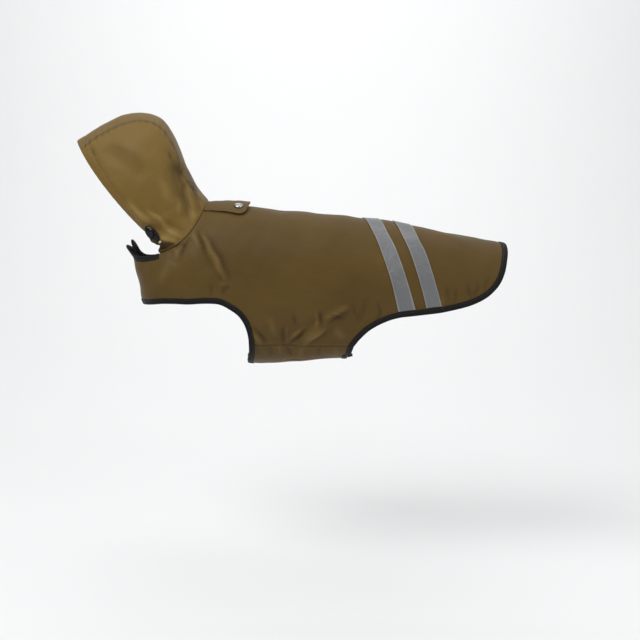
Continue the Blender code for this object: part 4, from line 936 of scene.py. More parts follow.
def creased_hood(place, share):
    """Inner face of the hood's cloth with its creases, the way out, and the painted shade of its creases and
    large folds, negative where crests get a painted highlight.
    """
    place, share = np.broadcast_arrays(np.asarray(place, float), np.asarray(share, float))
    point = hood_surface(place, share)
    normal = normals_of(hood_surface, np.clip(place, 0.01, 0.99), share)
    out_of_hood = point - np.array([HOOD_MIDDLE_X, 0.0, 0.0])
    if np.mean(np.sum(out_of_hood * normal, axis=-1)) < 0:
        normal = -normal
    from_face = np.linalg.norm(point - hood_surface(np.zeros_like(place), share), axis=-1)
    from_neck = np.linalg.norm(point - hood_surface(np.ones_like(place), share), axis=-1)
    calm = calmed(from_face, HOOD_FACE_CALM[0], -HOOD_FACE_CALM[1])
    calm = calm * calmed(from_neck, HOOD_NECK_CALM[0], -HOOD_NECK_CALM[1])
    kept = HOOD_CALM_LEAST + (1 - HOOD_CALM_LEAST) * calm
    down = share * HOOD_RING_LENGTH
    seam = crown_seam_height(place, share)
    height_at_neck, reach = HOOD_NECK_PUCKER
    neck = pucker(down * 1.02 + 5.0, from_neck, height_at_neck, reach) * calmed(from_neck, SEAM_FREE, 0)
    hem, puff = casing_heights(from_face, down)
    end, softness = CASING_FADE
    fade = smooth_step((end - np.abs(share)) / softness)
    height = crease_height(point, HOOD_CREASES_LEFT, HOOD_CREASES_RIGHT) * kept
    height = height + seam * calm + neck * calm + hem * fade
    folded = np.minimum(fold_height(hood_bare(place, share), HOOD_FOLDS_LEFT, HOOD_FOLDS_RIGHT), 0.0)
    # painted shade where the creases and large folds dip in, painted highlight (negative) where creases stand
    # out
    shade = np.clip(-height / CREASE_SHADE - folded * FOLD_SHADE * calm, -1, 1)
    soft = ripple(point) * kept + puff * fade
    return point + normal * (height + soft)[..., None], normal, shade


def worn_hood(place, share):
    return creased_hood(place, share)[:2]


CROWN_SEAM = crown_share(HOOD_PLACES)

# ---------------------------------------------------------------- materials
def linear(code):
    """Shader colour from a six-figure colour code."""
    parts = [int(code[i:i + 2], 16) / 255 for i in (0, 2, 4)]
    return tuple(c / 12.92 if c <= 0.04045 else ((c + 0.055) / 1.055) ** 2.4 for c in parts) + (1.0,)


class Tree:
    """A node tree with short ways to add and join nodes."""

    def __init__(self, tree):
        self.tree = tree

    def add(self, kind, sockets=(), **settings):
        node = self.tree.nodes.new(kind)
        for name, value in settings.items():
            setattr(node, name, value)
        for socket, value in dict(sockets).items():
            self.feed(node.inputs[socket], value)
        return node

    def feed(self, socket, value):
        """Join another node's output to a socket, or set its constant."""
        if isinstance(value, bpy.types.NodeSocket):
            self.tree.links.new(value, socket)
        else:
            socket.default_value = value

    def math(self, operation, first, second=0.0):
        return self.add("ShaderNodeMath", {0: first, 1: second}, operation=operation).outputs[0]

    def mix(self, factor, first, second):
        """Colour between two: each a node's output or a colour code."""
        first, second = (linear(c) if isinstance(c, str) else c for c in (first, second))
        node = self.add("ShaderNodeMix", {0: factor, 6: first, 7: second}, data_type="RGBA")
        return node.outputs[2]

    def range(self, value, low, high):
        sockets = {"Value": value, "To Min": low, "To Max": high}
        return self.add("ShaderNodeMapRange", sockets).outputs[0]

    def ramp(self, value, start, end, most, **settings):
        """Nothing up to the start, growing to the most at the end."""
        sockets = {"Value": value, "From Min": start, "From Max": end, "To Max": most}
        return self.add("ShaderNodeMapRange", sockets, **settings).outputs[0]

    def bump(self, height, distance, strength, under=None):
        node = self.add("ShaderNodeBump",
                        {"Height": height, "Distance": distance, "Strength": strength})
        if under is not None:
            self.feed(node.inputs["Normal"], under)
        return node.outputs[0]


def new_group(name, inputs, outputs):
    """An empty shader group with named number inputs and outputs."""
    group = bpy.data.node_groups.new(name, "ShaderNodeTree")
    for label, kind, value in inputs:
        socket = group.interface.new_socket(name=label, in_out="INPUT", socket_type=kind)
        if value is not None:
            socket.default_value = value
    for label in outputs:
        group.interface.new_socket(name=label, in_out="OUTPUT", socket_type="NodeSocketFloat")
    tree = Tree(group)
    return group, tree, tree.add("NodeGroupInput").outputs, tree.add("NodeGroupOutput").inputs


def weave_group():
    """Plain weave: the height of crossing threads, and a thread-to-thread tone."""
    group, tree, given, out = new_group(
        "plain weave", [("Place", "NodeSocketVector", None), ("Threads per metre", "NodeSocketFloat", 1400.0),
                        ("Slub", "NodeSocketFloat", 0.3)], ["Height", "Tone"])
    place = tree.add("ShaderNodeVectorMath", {0: given["Place"], "Scale": given["Threads per metre"]},
                     operation="SCALE")
    split = tree.add("ShaderNodeSeparateXYZ", {0: place.outputs[0]})
    warp = tree.math("SINE", tree.math("MULTIPLY", split.outputs[0], math.pi))
    weft = tree.math("SINE", tree.math("MULTIPLY", split.outputs[1], math.pi))
    crossing = tree.math("MULTIPLY", warp, weft)
    slub = tree.add("ShaderNodeTexNoise", {"Vector": place.outputs[0], "Scale": 0.35, "Detail": 2.0})
    height = tree.math("ADD", crossing, tree.math("MULTIPLY", slub.outputs[0], given["Slub"]))
    tree.feed(out["Height"], height)
    stretched = tree.add("ShaderNodeVectorMath", {0: place.outputs[0], 1: (0.02, 1.0, 1.0)},
                         operation="MULTIPLY")
    tone = tree.add("ShaderNodeTexNoise", {"Vector": stretched.outputs[0], "Scale": 0.6, "Detail": 1.0})
    tree.feed(out["Tone"], tone.outputs[0])
    return group


def crumple_group():
    """Fine crumpling of worn nylon: its height, and slow changes of shade."""
    group, tree, given, out = new_group(
        "nylon crumple", [("Place", "NodeSocketVector", None), ("Folds per metre", "NodeSocketFloat", 60.0),
                          ("Twist", "NodeSocketFloat", 0.8)], ["Height", "Shade"])
    noise = tree.add("ShaderNodeTexNoise", {"Vector": given["Place"], "Scale": given["Folds per metre"],
                                            "Detail": 4.0, "Roughness": 0.55, "Distortion": given["Twist"]})
    half = tree.math("ABSOLUTE", tree.math("SUBTRACT", noise.outputs[0], 0.5))
    height = tree.math("POWER", tree.math("SUBTRACT", 1.0, half), 3.0)
    tree.feed(out["Height"], height)
    slow = tree.math("MULTIPLY", given["Folds per metre"], 0.17)
    shade = tree.add("ShaderNodeTexNoise", {"Vector": given["Place"], "Scale": slow, "Detail": 3.0})
    tree.feed(out["Shade"], shade.outputs[0])
    return group


class Surface(Tree):
    """A material in the making: its node tree, its place and, with folds, its crumpling."""

    def __init__(self, name, folds=None, twist=0.8):
        self.material = bpy.data.materials.new(name)
        self.material.use_nodes = True
        super().__init__(self.material.node_tree)
        self.shader = self.tree.nodes["Principled BSDF"]
        self.place = self.add("ShaderNodeTexCoord").outputs["Object"]
        if folds is None:
            return
        crumple = self.add("ShaderNodeGroup", node_tree=CRUMPLE)
        for label, value in (("Place", self.place), ("Folds per metre", folds), ("Twist", twist)):
            self.feed(crumple.inputs[label], value)
        self.shade, self.height = crumple.outputs["Shade"], crumple.outputs["Height"]

    def flat(self):
        return self.add("ShaderNodeUVMap", uv_map="flat").outputs[0]

    def strip(self):
        """Places along and across a strip such as a tape."""
        return self.add("ShaderNodeSeparateXYZ", {0: self.flat()}).outputs

    def finished(self, colour, roughness, normal, **constants):
        """The material, once its shader has what feeds it. Constants are named sockets."""
        if isinstance(roughness, tuple):
            roughness = self.range(self.shade, *roughness)
        for name, value in (("Base Color", colour), ("Roughness", roughness), ("Normal", normal)):
            self.feed(self.shader.inputs[name], value)
        for name, value in constants.items():
            self.shader.inputs[SHADER_SOCKETS[name]].default_value = value
        return self.material


SHADER_SOCKETS = {"sheen": "Sheen Weight", "sheen_roughness": "Sheen Roughness",
                  "specular": "Specular IOR Level", "metallic": "Metallic"}


def cloth_material(name, dark, light, ridge, roughness, sheen):
    """Woven nylon: two shades of its colour, its weave, painted shade in its creases with a painted highlight
    on their crests, and fine crumpling.
    """
    made = Surface(name, 60.0)
    weave = made.add("ShaderNodeGroup", node_tree=WEAVE)
    made.feed(weave.inputs["Place"], made.flat())
    colour = made.mix(made.range(made.shade, 0.0, 1.0), dark, light)
    colour = made.mix(made.range(weave.outputs["Tone"], 0.0, 0.16), colour, "1d140b")
    # painted shade: towards 1c1309 in the creases' hollows; painted highlight: towards the ridge colour on
    # their crests
    painted_shade_and_highlight = made.add("ShaderNodeAttribute", attribute_name="painted_shade_and_highlight").outputs["Fac"]
    colour = made.mix(made.ramp(painted_shade_and_highlight, 0.03, 1.0, 0.62), colour, "1c1309")
    colour = made.mix(made.ramp(painted_shade_and_highlight, -0.05, -1.0, 0.34), colour, ridge)
    soft = made.bump(made.height, 0.0003, 0.8)
    return made.finished(colour, (roughness - 0.05, roughness + 0.07),
                         made.bump(weave.outputs["Height"], 0.00012, 0.5, soft),
                         sheen=sheen, sheen_roughness=0.45, specular=0.15)


def ribbed_material(name, dark, light, ribs=900.0):
    """Grosgrain binding: ribs across its run, on the piece's own strip map."""
    made = Surface(name, 140.0)
    rib = made.math("SINE", made.math("MULTIPLY", made.strip()[0], 2 * math.pi * ribs))
    colour = made.mix(made.range(made.shade, -0.3, 1.3), dark, light)
    soft = made.bump(made.height, 0.0004, 0.5)
    return made.finished(colour, (0.54, 0.68), made.bump(rib, 0.00012, 0.6, soft),
                         sheen=0.02, specular=0.16)


def tape_material(name):
    """Reflective tape: glass-bead grey, lighter along its sewn edges."""
    made = Surface(name, 55.0)
    off_middle = made.math("ABSOLUTE", made.strip()[1])
    edge = made.ramp(off_middle, 0.0102, 0.0107, 1.0, interpolation_type="SMOOTHSTEP")
    beads = made.add("ShaderNodeTexVoronoi", {"Vector": made.place, "Scale": 2600.0})
    beads = beads.outputs["Distance"]
    colour = made.mix(made.range(made.shade, -0.2, 1.2), "515253", "68696a")
    colour = made.mix(made.range(beads, 0.0, 0.3), colour, "8b8c8d")
    colour = made.mix(made.math("MULTIPLY", edge, 0.45), colour, "95928c")
    soft = made.bump(made.height, 0.0014, 0.8)
    return made.finished(colour, (0.34, 0.5), made.bump(beads, 0.00008, 0.4, soft), metallic=0.35)


def metal_material(name):
    """Nickel-plated brass with faint handling marks."""
    made = Surface(name, 420.0, 2.0)
    return made.finished(made.mix(made.shade, "8c8b88", "b4b3af"), (0.16, 0.3),
                         made.bump(made.height, 0.00004, 0.4), metallic=1.0)


def plastic_material(name, dark, light, roughness):
    """Moulded black plastic, polished on its high places."""
    made = Surface(name, 500.0, 0.4)
    return made.finished(made.mix(made.shade, dark, light), (roughness - 0.05, roughness + 0.12),
                         made.bump(made.height, 0.00003, 0.4), specular=0.22)


def thread_material(name, dark, light):
    """Twisted polyester thread."""
    made = Surface(name)
    twist = made.add("ShaderNodeTexWave", {"Vector": made.place, "Scale": 1500.0, "Distortion": 1.0},
                     bands_direction="DIAGONAL").outputs["Fac"]
    return made.finished(made.mix(twist, dark, light), 0.55, made.bump(twist, 0.00006, 0.5), sheen=0.2)


def floor_material(name, colour):
    made = Surface(name)
    noise = made.add("ShaderNodeTexNoise", {"Vector": made.place, "Scale": 4.0}).outputs[0]
    made.feed(made.shader.inputs["Base Color"], made.mix(made.range(noise, 0.0, 0.04), colour, "cfcfcf"))
    made.feed(made.shader.inputs["Roughness"], 0.9)
    return made.material


WEAVE = weave_group()
CRUMPLE = crumple_group()
MATERIALS = {
    # the third colour of each cloth is the painted highlight on its crests
    "body_cloth": cloth_material("body shell cloth", "483513", "5c4820", "8a7344", 0.5, 0.03),
    # hood and crown strip: lighter shades than the body's cloth, painted light for the light that falls more
    # on the hood
    "hood_cloth": cloth_material("hood shell cloth", "624c20", "765e2c", "a48b54", 0.46, 0.03),
    "crown_cloth": cloth_material("crown strip cloth", "604c27", "735f38", "8d7c58", 0.45, 0.04),
    "inner_cloth": cloth_material("inner face of the shell", "33240f", "47341c", "4f3c22", 0.6, 0.05),
    "binding": ribbed_material("grosgrain binding", "070707", "111111"),
    "tape": tape_material("reflective tape"),
    "metal": metal_material("nickel snap"),
    "plastic": plastic_material("black moulded plastic", "060606", "0c0c0c", 0.16),
    "button": plastic_material("lock button plastic", "0b0b0b", "151515", 0.22),
    "cord": thread_material("drawcord", "8f897c", "c4beb0"),
    "brown_thread": thread_material("brown thread", "34240f", "6b5432"),
    "grey_thread": thread_material("grey thread", "6b6965", "918e88"),
    "black_thread": thread_material("black thread", "0f0f0f", "2c2c2c"),
    "floor": floor_material("pale floor", "e5e5e5"),
}


# ---------------------------------------------------------------- meshes
def link_object(name, mesh):
    thing = bpy.data.objects.new(name, mesh)
    bpy.context.scene.collection.objects.link(thing)
    return thing


def agree_outwards(points, faces, normals):
    """Triangles or quads wound to agree with the points' ways out."""
    corner = points[faces[:, 1]] - points[faces[:, 0]]
    other = points[faces[:, 2]] - points[faces[:, 0]]
    turned = np.sum(np.cross(corner, other) * normals[faces[:, 0]])
    return faces if turned > 0 else faces[:, ::-1]


def rim_edges(faces):
    """Directed edges that only one face has."""
    edges = np.concatenate([np.stack([faces[:, i], faces[:, (i + 1) % faces.shape[1]]], axis=1)
                            for i in range(faces.shape[1])])
    size = edges.max() + 1
    code, back = edges[:, 0] * size + edges[:, 1], edges[:, 1] * size + edges[:, 0]
    return edges[~np.isin(code, back)]


def solid_mesh(name, points, faces, material, merge=True):
    """A smooth mesh of one material whose faces all look out, in millimetres."""
    mesh = bpy.data.meshes.new(name)
    mesh.from_pydata((points * MM).tolist(), [], faces)
    mesh.materials.append(MATERIALS[material])
    work = bmesh.new()
    work.from_mesh(mesh)
    if merge:
        bmesh.ops.remove_doubles(work, verts=work.verts, dist=CLOSE)
    bmesh.ops.recalc_face_normals(work, faces=work.faces)
    work.to_mesh(mesh)
    work.free()
    mesh.shade_smooth()
    return mesh


def map_flat(mesh, places):
    """The piece's flat pattern, in metres, from its points' places in millimetres."""
    corners = np.zeros(len(mesh.loops), int)
    mesh.loops.foreach_get("vertex_index", corners)
    mesh.uv_layers.new(name="flat").uv.foreach_set("vector", (places * MM)[corners].ravel())


def make_shell(name, points, normals, faces, flat, wall, outer, inner=None, painted_shade_and_highlight=None):
    """A closed cloth wall from its inner face: points in mm, flat pattern places in mm."""
    faces = agree_outwards(points, np.asarray(faces, int), normals)
    sheet = bpy.data.meshes.new(name)
    sheet.from_pydata((points * MM).tolist(), [], faces.tolist())
    way = np.zeros(len(points) * 3)
    sheet.vertex_normals.foreach_get("vector", way)
    bpy.data.meshes.remove(sheet)
    way = way.reshape(-1, 3)
    outside = points + way * wall
    count = len(points)
    painted_shade_and_highlight = np.zeros(count) if painted_shade_and_highlight is None else painted_shade_and_highlight.ravel()
    rim = rim_edges(faces)
    walls = np.stack([rim[:, 1], rim[:, 0], rim[:, 0] + count, rim[:, 1] + count], axis=1)
    mesh = bpy.data.meshes.new(name)
    every = faces.tolist() + (faces[:, ::-1] + count).tolist() + walls.tolist()
    mesh.from_pydata((np.concatenate([outside, points]) * MM).tolist(), [], every)
    mesh.materials.append(MATERIALS[outer])
    mesh.materials.append(MATERIALS[inner or outer])
    mesh.shade_smooth()
    which = np.zeros(len(every), int)
    which[len(faces):2 * len(faces)] = 1
    mesh.polygons.foreach_set("material_index", which)
    map_flat(mesh, np.concatenate([flat, flat]))
    # painted shade in the creases and painted highlight on their crests; the inner face gets them the other
    # way round
    marks = mesh.attributes.new("painted_shade_and_highlight", "FLOAT", "POINT")
    marks.data.foreach_set("value", np.concatenate([painted_shade_and_highlight, -painted_shade_and_highlight]))
    sharp = {tuple(sorted(edge)) for edge in rim.tolist() + (rim + count).tolist()}
    flags = mesh.attributes.new("sharp_edge", "BOOLEAN", "EDGE")
    ends = np.zeros(len(mesh.edges) * 2, int)
    mesh.edges.foreach_get("vertices", ends)
    flags.data.foreach_set("value", [tuple(sorted(edge)) in sharp for edge in ends.reshape(-1, 2).tolist()])
    mesh.update()
    return link_object(name, mesh)


def make_swept(name, sections, runs, acrosses, material, closed=False):
    """A tube or strip from rows of section points; runs and acrosses are its flat places."""
    rows, size = sections.shape[:2]
    last = rows if closed else rows - 1
    faces = [(i * size + j, i * size + (j + 1) % size, (i + 1) % rows * size + (j + 1) % size,
              (i + 1) % rows * size + j) for i in range(last) for j in range(size)]
    if not closed:
        faces += [tuple(range(size)), tuple(reversed(range((rows - 1) * size, rows * size)))]
    mesh = solid_mesh(name, sections.reshape(-1, 3), faces, material, merge=False)
    map_flat(mesh, np.stack([np.repeat(runs, size), np.tile(acrosses, rows)], axis=1))
    return link_object(name, mesh)


# ---------------------------------------------------------------- cloth pieces
def make_body():
    plan, outline, within = plan_body()
    everything = np.concatenate([plan.points, fill_points(plan, outline, within)])
    filled = geometry.delaunay_2d_cdt([Vector(point) for point in everything], plan.lines, [], 0, CLOSE)
    flat = np.array([tuple(point) for point in filled[0]])
    faces = np.array([tuple(face) for face in filled[2]])
    faces = faces[inside(outline, flat[faces].mean(axis=1))]
    place = from_flat(flat)
    points, normals, painted_shade_and_highlight = creased_body(place[:, 0], place[:, 1])
    return make_shell("coat_body", points, normals, faces, flat, CLOTH, "body_cloth", "inner_cloth",
                      painted_shade_and_highlight), within


def make_strap(label, side):
    right, count = strap_rows()
    place = signed(right, side)
    points, normals, painted_shade_and_highlight = creased_body(place[:, 0], place[:, 1])
    faces = np.array(grid_faces(count, STRAP_ACROSS + 2))
    return make_shell("belly_strap_end_" + label, points, normals, faces, to_flat(place), CLOTH,
                      "body_cloth", "inner_cloth", painted_shade_and_highlight)


# The hood's front end gets a painted shadow where it is tucked in under its roll, below a line that climbs
# from its back end to the face edge: height and x of its back end, climb, run and softness.
ROLL_SHADOW = (-59.5, -81.0, 8.0, 34.0, 2.5)
# Painted shade on a strip of cloth behind the large fold, where it turns away from the light:
# line from the crown down to where it ends, the strip's width, its softness and its shade.
FACET = ((-86.0, 62.0), (-62.0, -18.0), 17.0, 3.0, 0.62)
FACET_FOOT = 14.0                # height over which its shade comes up from its lower end
FACET_HEAD = (6.0, 20.0)         # how far past its upper end it goes out, and over what height


def facet_shade(points):
    """Painted shade of the facet at points in mm."""
    (x0, z0), (x1, z1), width, soft, shade = FACET
    x, z = points[:, 0], points[:, 2]
    off = ((x - x0) * (z0 - z1) + (z - z0) * (x1 - x0)) / math.hypot(x1 - x0, z1 - z0)
    behind = smooth_step(off / soft + 0.5) * smooth_step((width - off) / soft)
    past, reach = FACET_HEAD
    return behind * smooth_step((z - z1) / FACET_FOOT) * smooth_step((z0 + past - z) / reach) * shade


def painted_roll_shadow(points):
    """Painted shadow under the front roll: 1 where the front end is tucked in, else 0, with a soft edge."""
    top, back, climb, run, soft = ROLL_SHADOW
    ahead = back - points[:, 0]
    line = top + climb * np.clip(ahead / run, 0, 1)
    return smooth_step((line - points[:, 2]) / soft) * smooth_step(ahead / (3 * soft))


def make_hood_piece(name, shares, material):
    places = np.repeat(HOOD_PLACES, shares.shape[1])
    points, normals, painted_shade_and_highlight = creased_hood(places, shares.ravel())
    flat = np.stack([places * HOOD_SEAM_LENGTH, shares.ravel() * HOOD_RING_LENGTH], axis=1)
    faces = np.array(grid_faces(HOOD_COLUMNS, shares.shape[1]))
    # adds the facet's painted shade and the painted shadow under the hood's front roll
    painted_shade_and_highlight = np.clip(painted_shade_and_highlight + facet_shade(points), -1, 1)
    return make_shell(name, points, normals, faces, flat, CLOTH, material, "inner_cloth",
                      np.maximum(painted_shade_and_highlight, painted_roll_shadow(points) * 2 - 1))


TURNING_UNDER = 1.35             # how far the seams' turnings lie under the cloth's inner face
TURNING_WALL = 0.9
TURNING_WIDTH = 6.0              # how far they reach from the seam


def make_turning(name, rails):
    """The cloth turned in behind a seam: rows of points on both sides of it, and ways out."""
    points = np.stack([points - normals * TURNING_UNDER for points, normals in rails], axis=1)
    normals = np.stack([normals for _, normals in rails], axis=1)
    run = run_along(points[:, 1])
    across = np.tile(np.linspace(-TURNING_WIDTH, TURNING_WIDTH, len(rails)), len(points))
    faces = np.array(grid_faces(len(points), len(rails)))
    return make_shell(name, points.reshape(-1, 3), normals.reshape(-1, 3), faces,
                      np.stack([np.repeat(run, len(rails)), across], axis=1), TURNING_WALL, "inner_cloth")


def neck_turning():
    shares = np.linspace(-0.997, 0.997, 300)
    girths = shares * math.radians(HOOD_FOOT_ANGLE)
    hood_end, hood_in = (worn_hood(np.full_like(shares, place), shares) for place in (0.999, 0.965))
    ring = np.interp(RING_PLACES[-FIRST_RING] + TURNING_WIDTH, RING_PLACES, RING_NUMBERS)
    body_end, body_in = (worn_body(np.full_like(girths, place), girths) for place in (0.0, ring))
    return make_turning("neck_seam_turning", [hood_in, hood_end, body_end, body_in])


def belly_turning(label, side):
    seam = even_count(on_torso(STRAP_SEAM), 90)
    rails = []
    for off in (-TURNING_WIDTH, -0.5, 0.9, TURNING_WIDTH):
        rails.append(worn_body(seam[:, 0], side * (seam[:, 1] + off / GIRTH_SCALE)))
    return make_turning("belly_seam_turning_" + label, rails)


def crown_turning(label, side):
    places = np.linspace(0.01, 0.985, 240)
    seams = crown_seam_at(places)
    rails = [worn_hood(places, side * (seams + off / HOOD_RING_LENGTH))
             for off in (-TURNING_WIDTH, -0.5, 0.5, TURNING_WIDTH)]
    return make_turning("crown_seam_turning_" + label, rails)


TAPE_RAILS = 9                   # points across a tape
TAPE_LIFT = 0.45                 # its underside over the panel's cloth
TAPE_OWN_WALL = TAPE_WALL - (TAPE_LIFT - SEAM_GAP)    # its top stays where the solid's is
TAPE_STITCHES = (0.065, 0.935)   # its rows of stitches, as shares of its width


def make_tape(name, fore, aft):
    """A tape's own fine strip between its two borders."""
    shares = np.linspace(0, 1, TAPE_RAILS)
    place = np.stack([fore + share * (aft - fore) for share in shares], axis=1)
    points, normals = worn_body(place[..., 0], place[..., 1])
    points = points + normals * (CLOTH + TAPE_LIFT)
    run = run_along(points[:, TAPE_RAILS // 2])
    across = np.stack([np.linalg.norm(points[:, i] - points[:, TAPE_RAILS // 2], axis=1)
                       * np.sign(i - TAPE_RAILS // 2) for i in range(TAPE_RAILS)], axis=1)
    flat = np.stack([np.repeat(run, TAPE_RAILS), across.ravel()], axis=1)
    faces = np.array(grid_faces(len(fore), TAPE_RAILS))
    return make_shell("sewn_" + name, points.reshape(-1, 3), normals.reshape(-1, 3), faces, flat,
                      TAPE_OWN_WALL, "tape")


# ---------------------------------------------------------------- bindings
# Section of a fold-over binding: distance in from the cloth's edge, and height over the
# cloth's inner face.
BINDING_SECTION = (
    (8.0, 1.45), (8.05, 2.1), (7.6, 2.42), (6.4, 2.38), (5.6, 2.3), (4.4, 2.5), (2.4, 2.62), (0.9, 2.5),
    (-0.2, 2.15), (-0.95, 1.5), (-1.2, 0.6), (-0.95, -0.3), (-0.2, -0.95), (0.9, -1.25), (4.4, -1.3),
    (7.4, -1.25), (8.0, -0.95), (8.0, -0.3), (4.4, -0.28), (0.9, -0.25), (0.0, 0.05), (-0.25, 0.6),
    (0.0, 1.15), (0.9, 1.42), (4.4, 1.47),
)
BINDING_STATIONS = (0.0, 2.0, 4.0, 6.0, 8.0)
BINDING_STITCH = (5.9, 2.3)      # where the row of stitches lies on it
BINDING_CLEAR = 1.8              # run left free at the hood's front corner


def binding_frames(edge, inset):
    """Points and ways out across a bound edge, from the cloth's edge inwards."""
    points, normals = [], []
    for station in BINDING_STATIONS:
        place = edge + (inset - edge) * station / BINDING_WIDTH
        point, normal = worn_body(place[:, 0], place[:, 1])
        points.append(point)
        normals.append(normal)
    points, normals = np.stack(points, axis=1), np.stack(normals, axis=1)
    outward = points[:, 0] - points[:, 1]
    outward /= np.linalg.norm(outward, axis=1, keepdims=True)
    return points, normals, outward


def binding_place(frames, inward, height):
    """Points at one distance in from the edge and one height, along a whole binding."""
    points, normals, outward = frames
    part = max(0.0, inward) / (BINDING_STATIONS[1] - BINDING_STATIONS[0])
    row = min(int(part), len(BINDING_STATIONS) - 2)
    part -= row
    place = points[:, row] * (1 - part) + points[:, row + 1] * part
    normal = normals[:, row] * (1 - part) + normals[:, row + 1] * part
    return place + normal * height + outward * max(0.0, -inward), normal


def make_binding(name, edge, inset):
    frames = binding_frames(edge, inset)
    rows = np.stack([binding_place(frames, inward, height)[0] for inward, height in BINDING_SECTION], axis=1)
    run = run_along(frames[0][:, 0])
    across = np.cumsum([0.0] + [math.dist(BINDING_SECTION[i], BINDING_SECTION[i + 1])
                                for i in range(len(BINDING_SECTION) - 1)])
    piece = make_swept(name, rows, run, across, "binding")
    stitched = binding_place(frames, *BINDING_STITCH)
    return piece, stitched


def cut_start(edge, inset, clear):
    """A bound edge with the first few millimetres of its run left off."""
    run = run_along(body_surface(edge[:, 0], edge[:, 1]))
    kept = np.concatenate([[clear], run[run > clear + 0.5]])
    return read_rows(edge, run, kept), read_rows(inset, run, kept)


def make_bindings():
    """The two front bindings and the rear one; returns pieces and their stitched rows."""
    bound_front, _, rear = body_edges()
    strap_front, strap_rear = strap_edges()
    front_in, _ = inset_points(bound_front, BINDING_WIDTH)
    strap_front_in, _ = inset_points(strap_front, BINDING_WIDTH)
    front_edge = np.concatenate([bound_front, strap_front[1:]])
    front_inset = np.concatenate([front_in, strap_front_in[1:]])
    front_edge, front_inset = cut_start(front_edge, front_inset, BINDING_CLEAR)
    made = [("front_binding_" + label, *make_binding("bound_front_" + label, signed(front_edge, side),
                                                     signed(front_inset, side)))
            for label, side in (("left", -1), ("right", 1))]
    rear_in, _ = inset_points(rear, BINDING_WIDTH)
    strap_rear_in, _ = inset_points(strap_rear, BINDING_WIDTH)
    rear_edge = np.concatenate([strap_rear[:-1], rear])
    rear_inset = np.concatenate([strap_rear_in[:-1], rear_in])
    rear_inset[-1, 1] = 0.0
    whole_edge = np.concatenate([signed(rear_edge, -1), signed(rear_edge, 1)[-2::-1]])
    whole_inset = np.concatenate([signed(rear_inset, -1), signed(rear_inset, 1)[-2::-1]])
    made.append(("rear_binding", *make_binding("bound_rear", whole_edge, whole_inset)))
    return made


# ---------------------------------------------------------------- tab, snap, locks and knots
TAB_FINE_ROWS = 46               # points along the tab
TAB_FINE_ACROSS = 27             # and across it
TAB_HEM = 3.2                    # from the tab's edge to its stitching
TAB_DIP = (0.35, 1.3)            # depth and half width of the dip along its stitching
TAB_WAVE = (0.22, 3.1, 6.0)      # height and length of its edge's waves, and how far in they reach


def tab_surface(along, across):
    """Underside of the tab with its sewn edge a little lower than its middle."""
    points, normals = tab_point(along, across)
    half = tab_value("half_width", along)
    from_side = (1 - np.abs(across)) * half
    from_end = TAB_ROWS[-1][0] - along
    off = np.minimum(from_side, from_end)
    depth, width = TAB_DIP
    dip = -depth * np.exp(-((off - TAB_HEM) / width) ** 2)
    height, length, reach = TAB_WAVE
    wave = height * np.sin(along / length + 2.0 * across) * np.exp(-(off / reach) ** 2)
    return points + normals * (dip + wave)[..., None], normals


def make_tab():
    lengths = np.linspace(TAB_ROWS[0][0], TAB_ROWS[-1][0], TAB_FINE_ROWS)
    along = np.repeat(lengths, TAB_FINE_ACROSS)
    across = np.tile(np.linspace(-1, 1, TAB_FINE_ACROSS), TAB_FINE_ROWS)
    points, normals = tab_surface(along, across)
    flat = np.stack([along, across * tab_value("half_width", along)], axis=1)
    faces = np.array(grid_faces(TAB_FINE_ROWS, TAB_FINE_ACROSS))
    return make_shell("snap_tab", points, normals, faces, flat, TAB_WALL, "body_cloth")


SHARP_ANGLE = 50       # degrees; a turned piece's edges past this are sharp


def spun(name, profile, centre, up, material, steps=48):
    """A turned piece from a profile of radius and height, made in its place."""
    up = np.asarray(up) / np.linalg.norm(up)
    side = np.cross(up, [1.0, 0.0, 0.0])
    side /= np.linalg.norm(side)
    other = np.cross(up, side)
    turns = np.linspace(0, 2 * math.pi, steps, endpoint=False)
    rows = np.array([[np.asarray(centre) + radius * (math.cos(turn) * side + math.sin(turn) * other)
                      + up * height for radius, height in profile] for turn in turns])
    size = len(profile)
    faces = [(i * size + j, (i + 1) % steps * size + j, (i + 1) % steps * size + j + 1, i * size + j + 1)
             for i in range(steps) for j in range(size - 1)]
    mesh = solid_mesh(name, rows.reshape(-1, 3), faces, material)
    mesh.set_sharp_from_angle(angle=math.radians(SHARP_ANGLE))
    return link_object(name, mesh)


def lock_height(off, z):
    """Height on the lock's upper face, with the dish and rim round its button."""
    reach, depth, softness = LOCK_DISH
    rim, height, width = LOCK_RIM
    z -= depth * float(smooth_step((reach - off) / softness))
    return z + height * math.exp(-((off - rim) / width) ** 2)


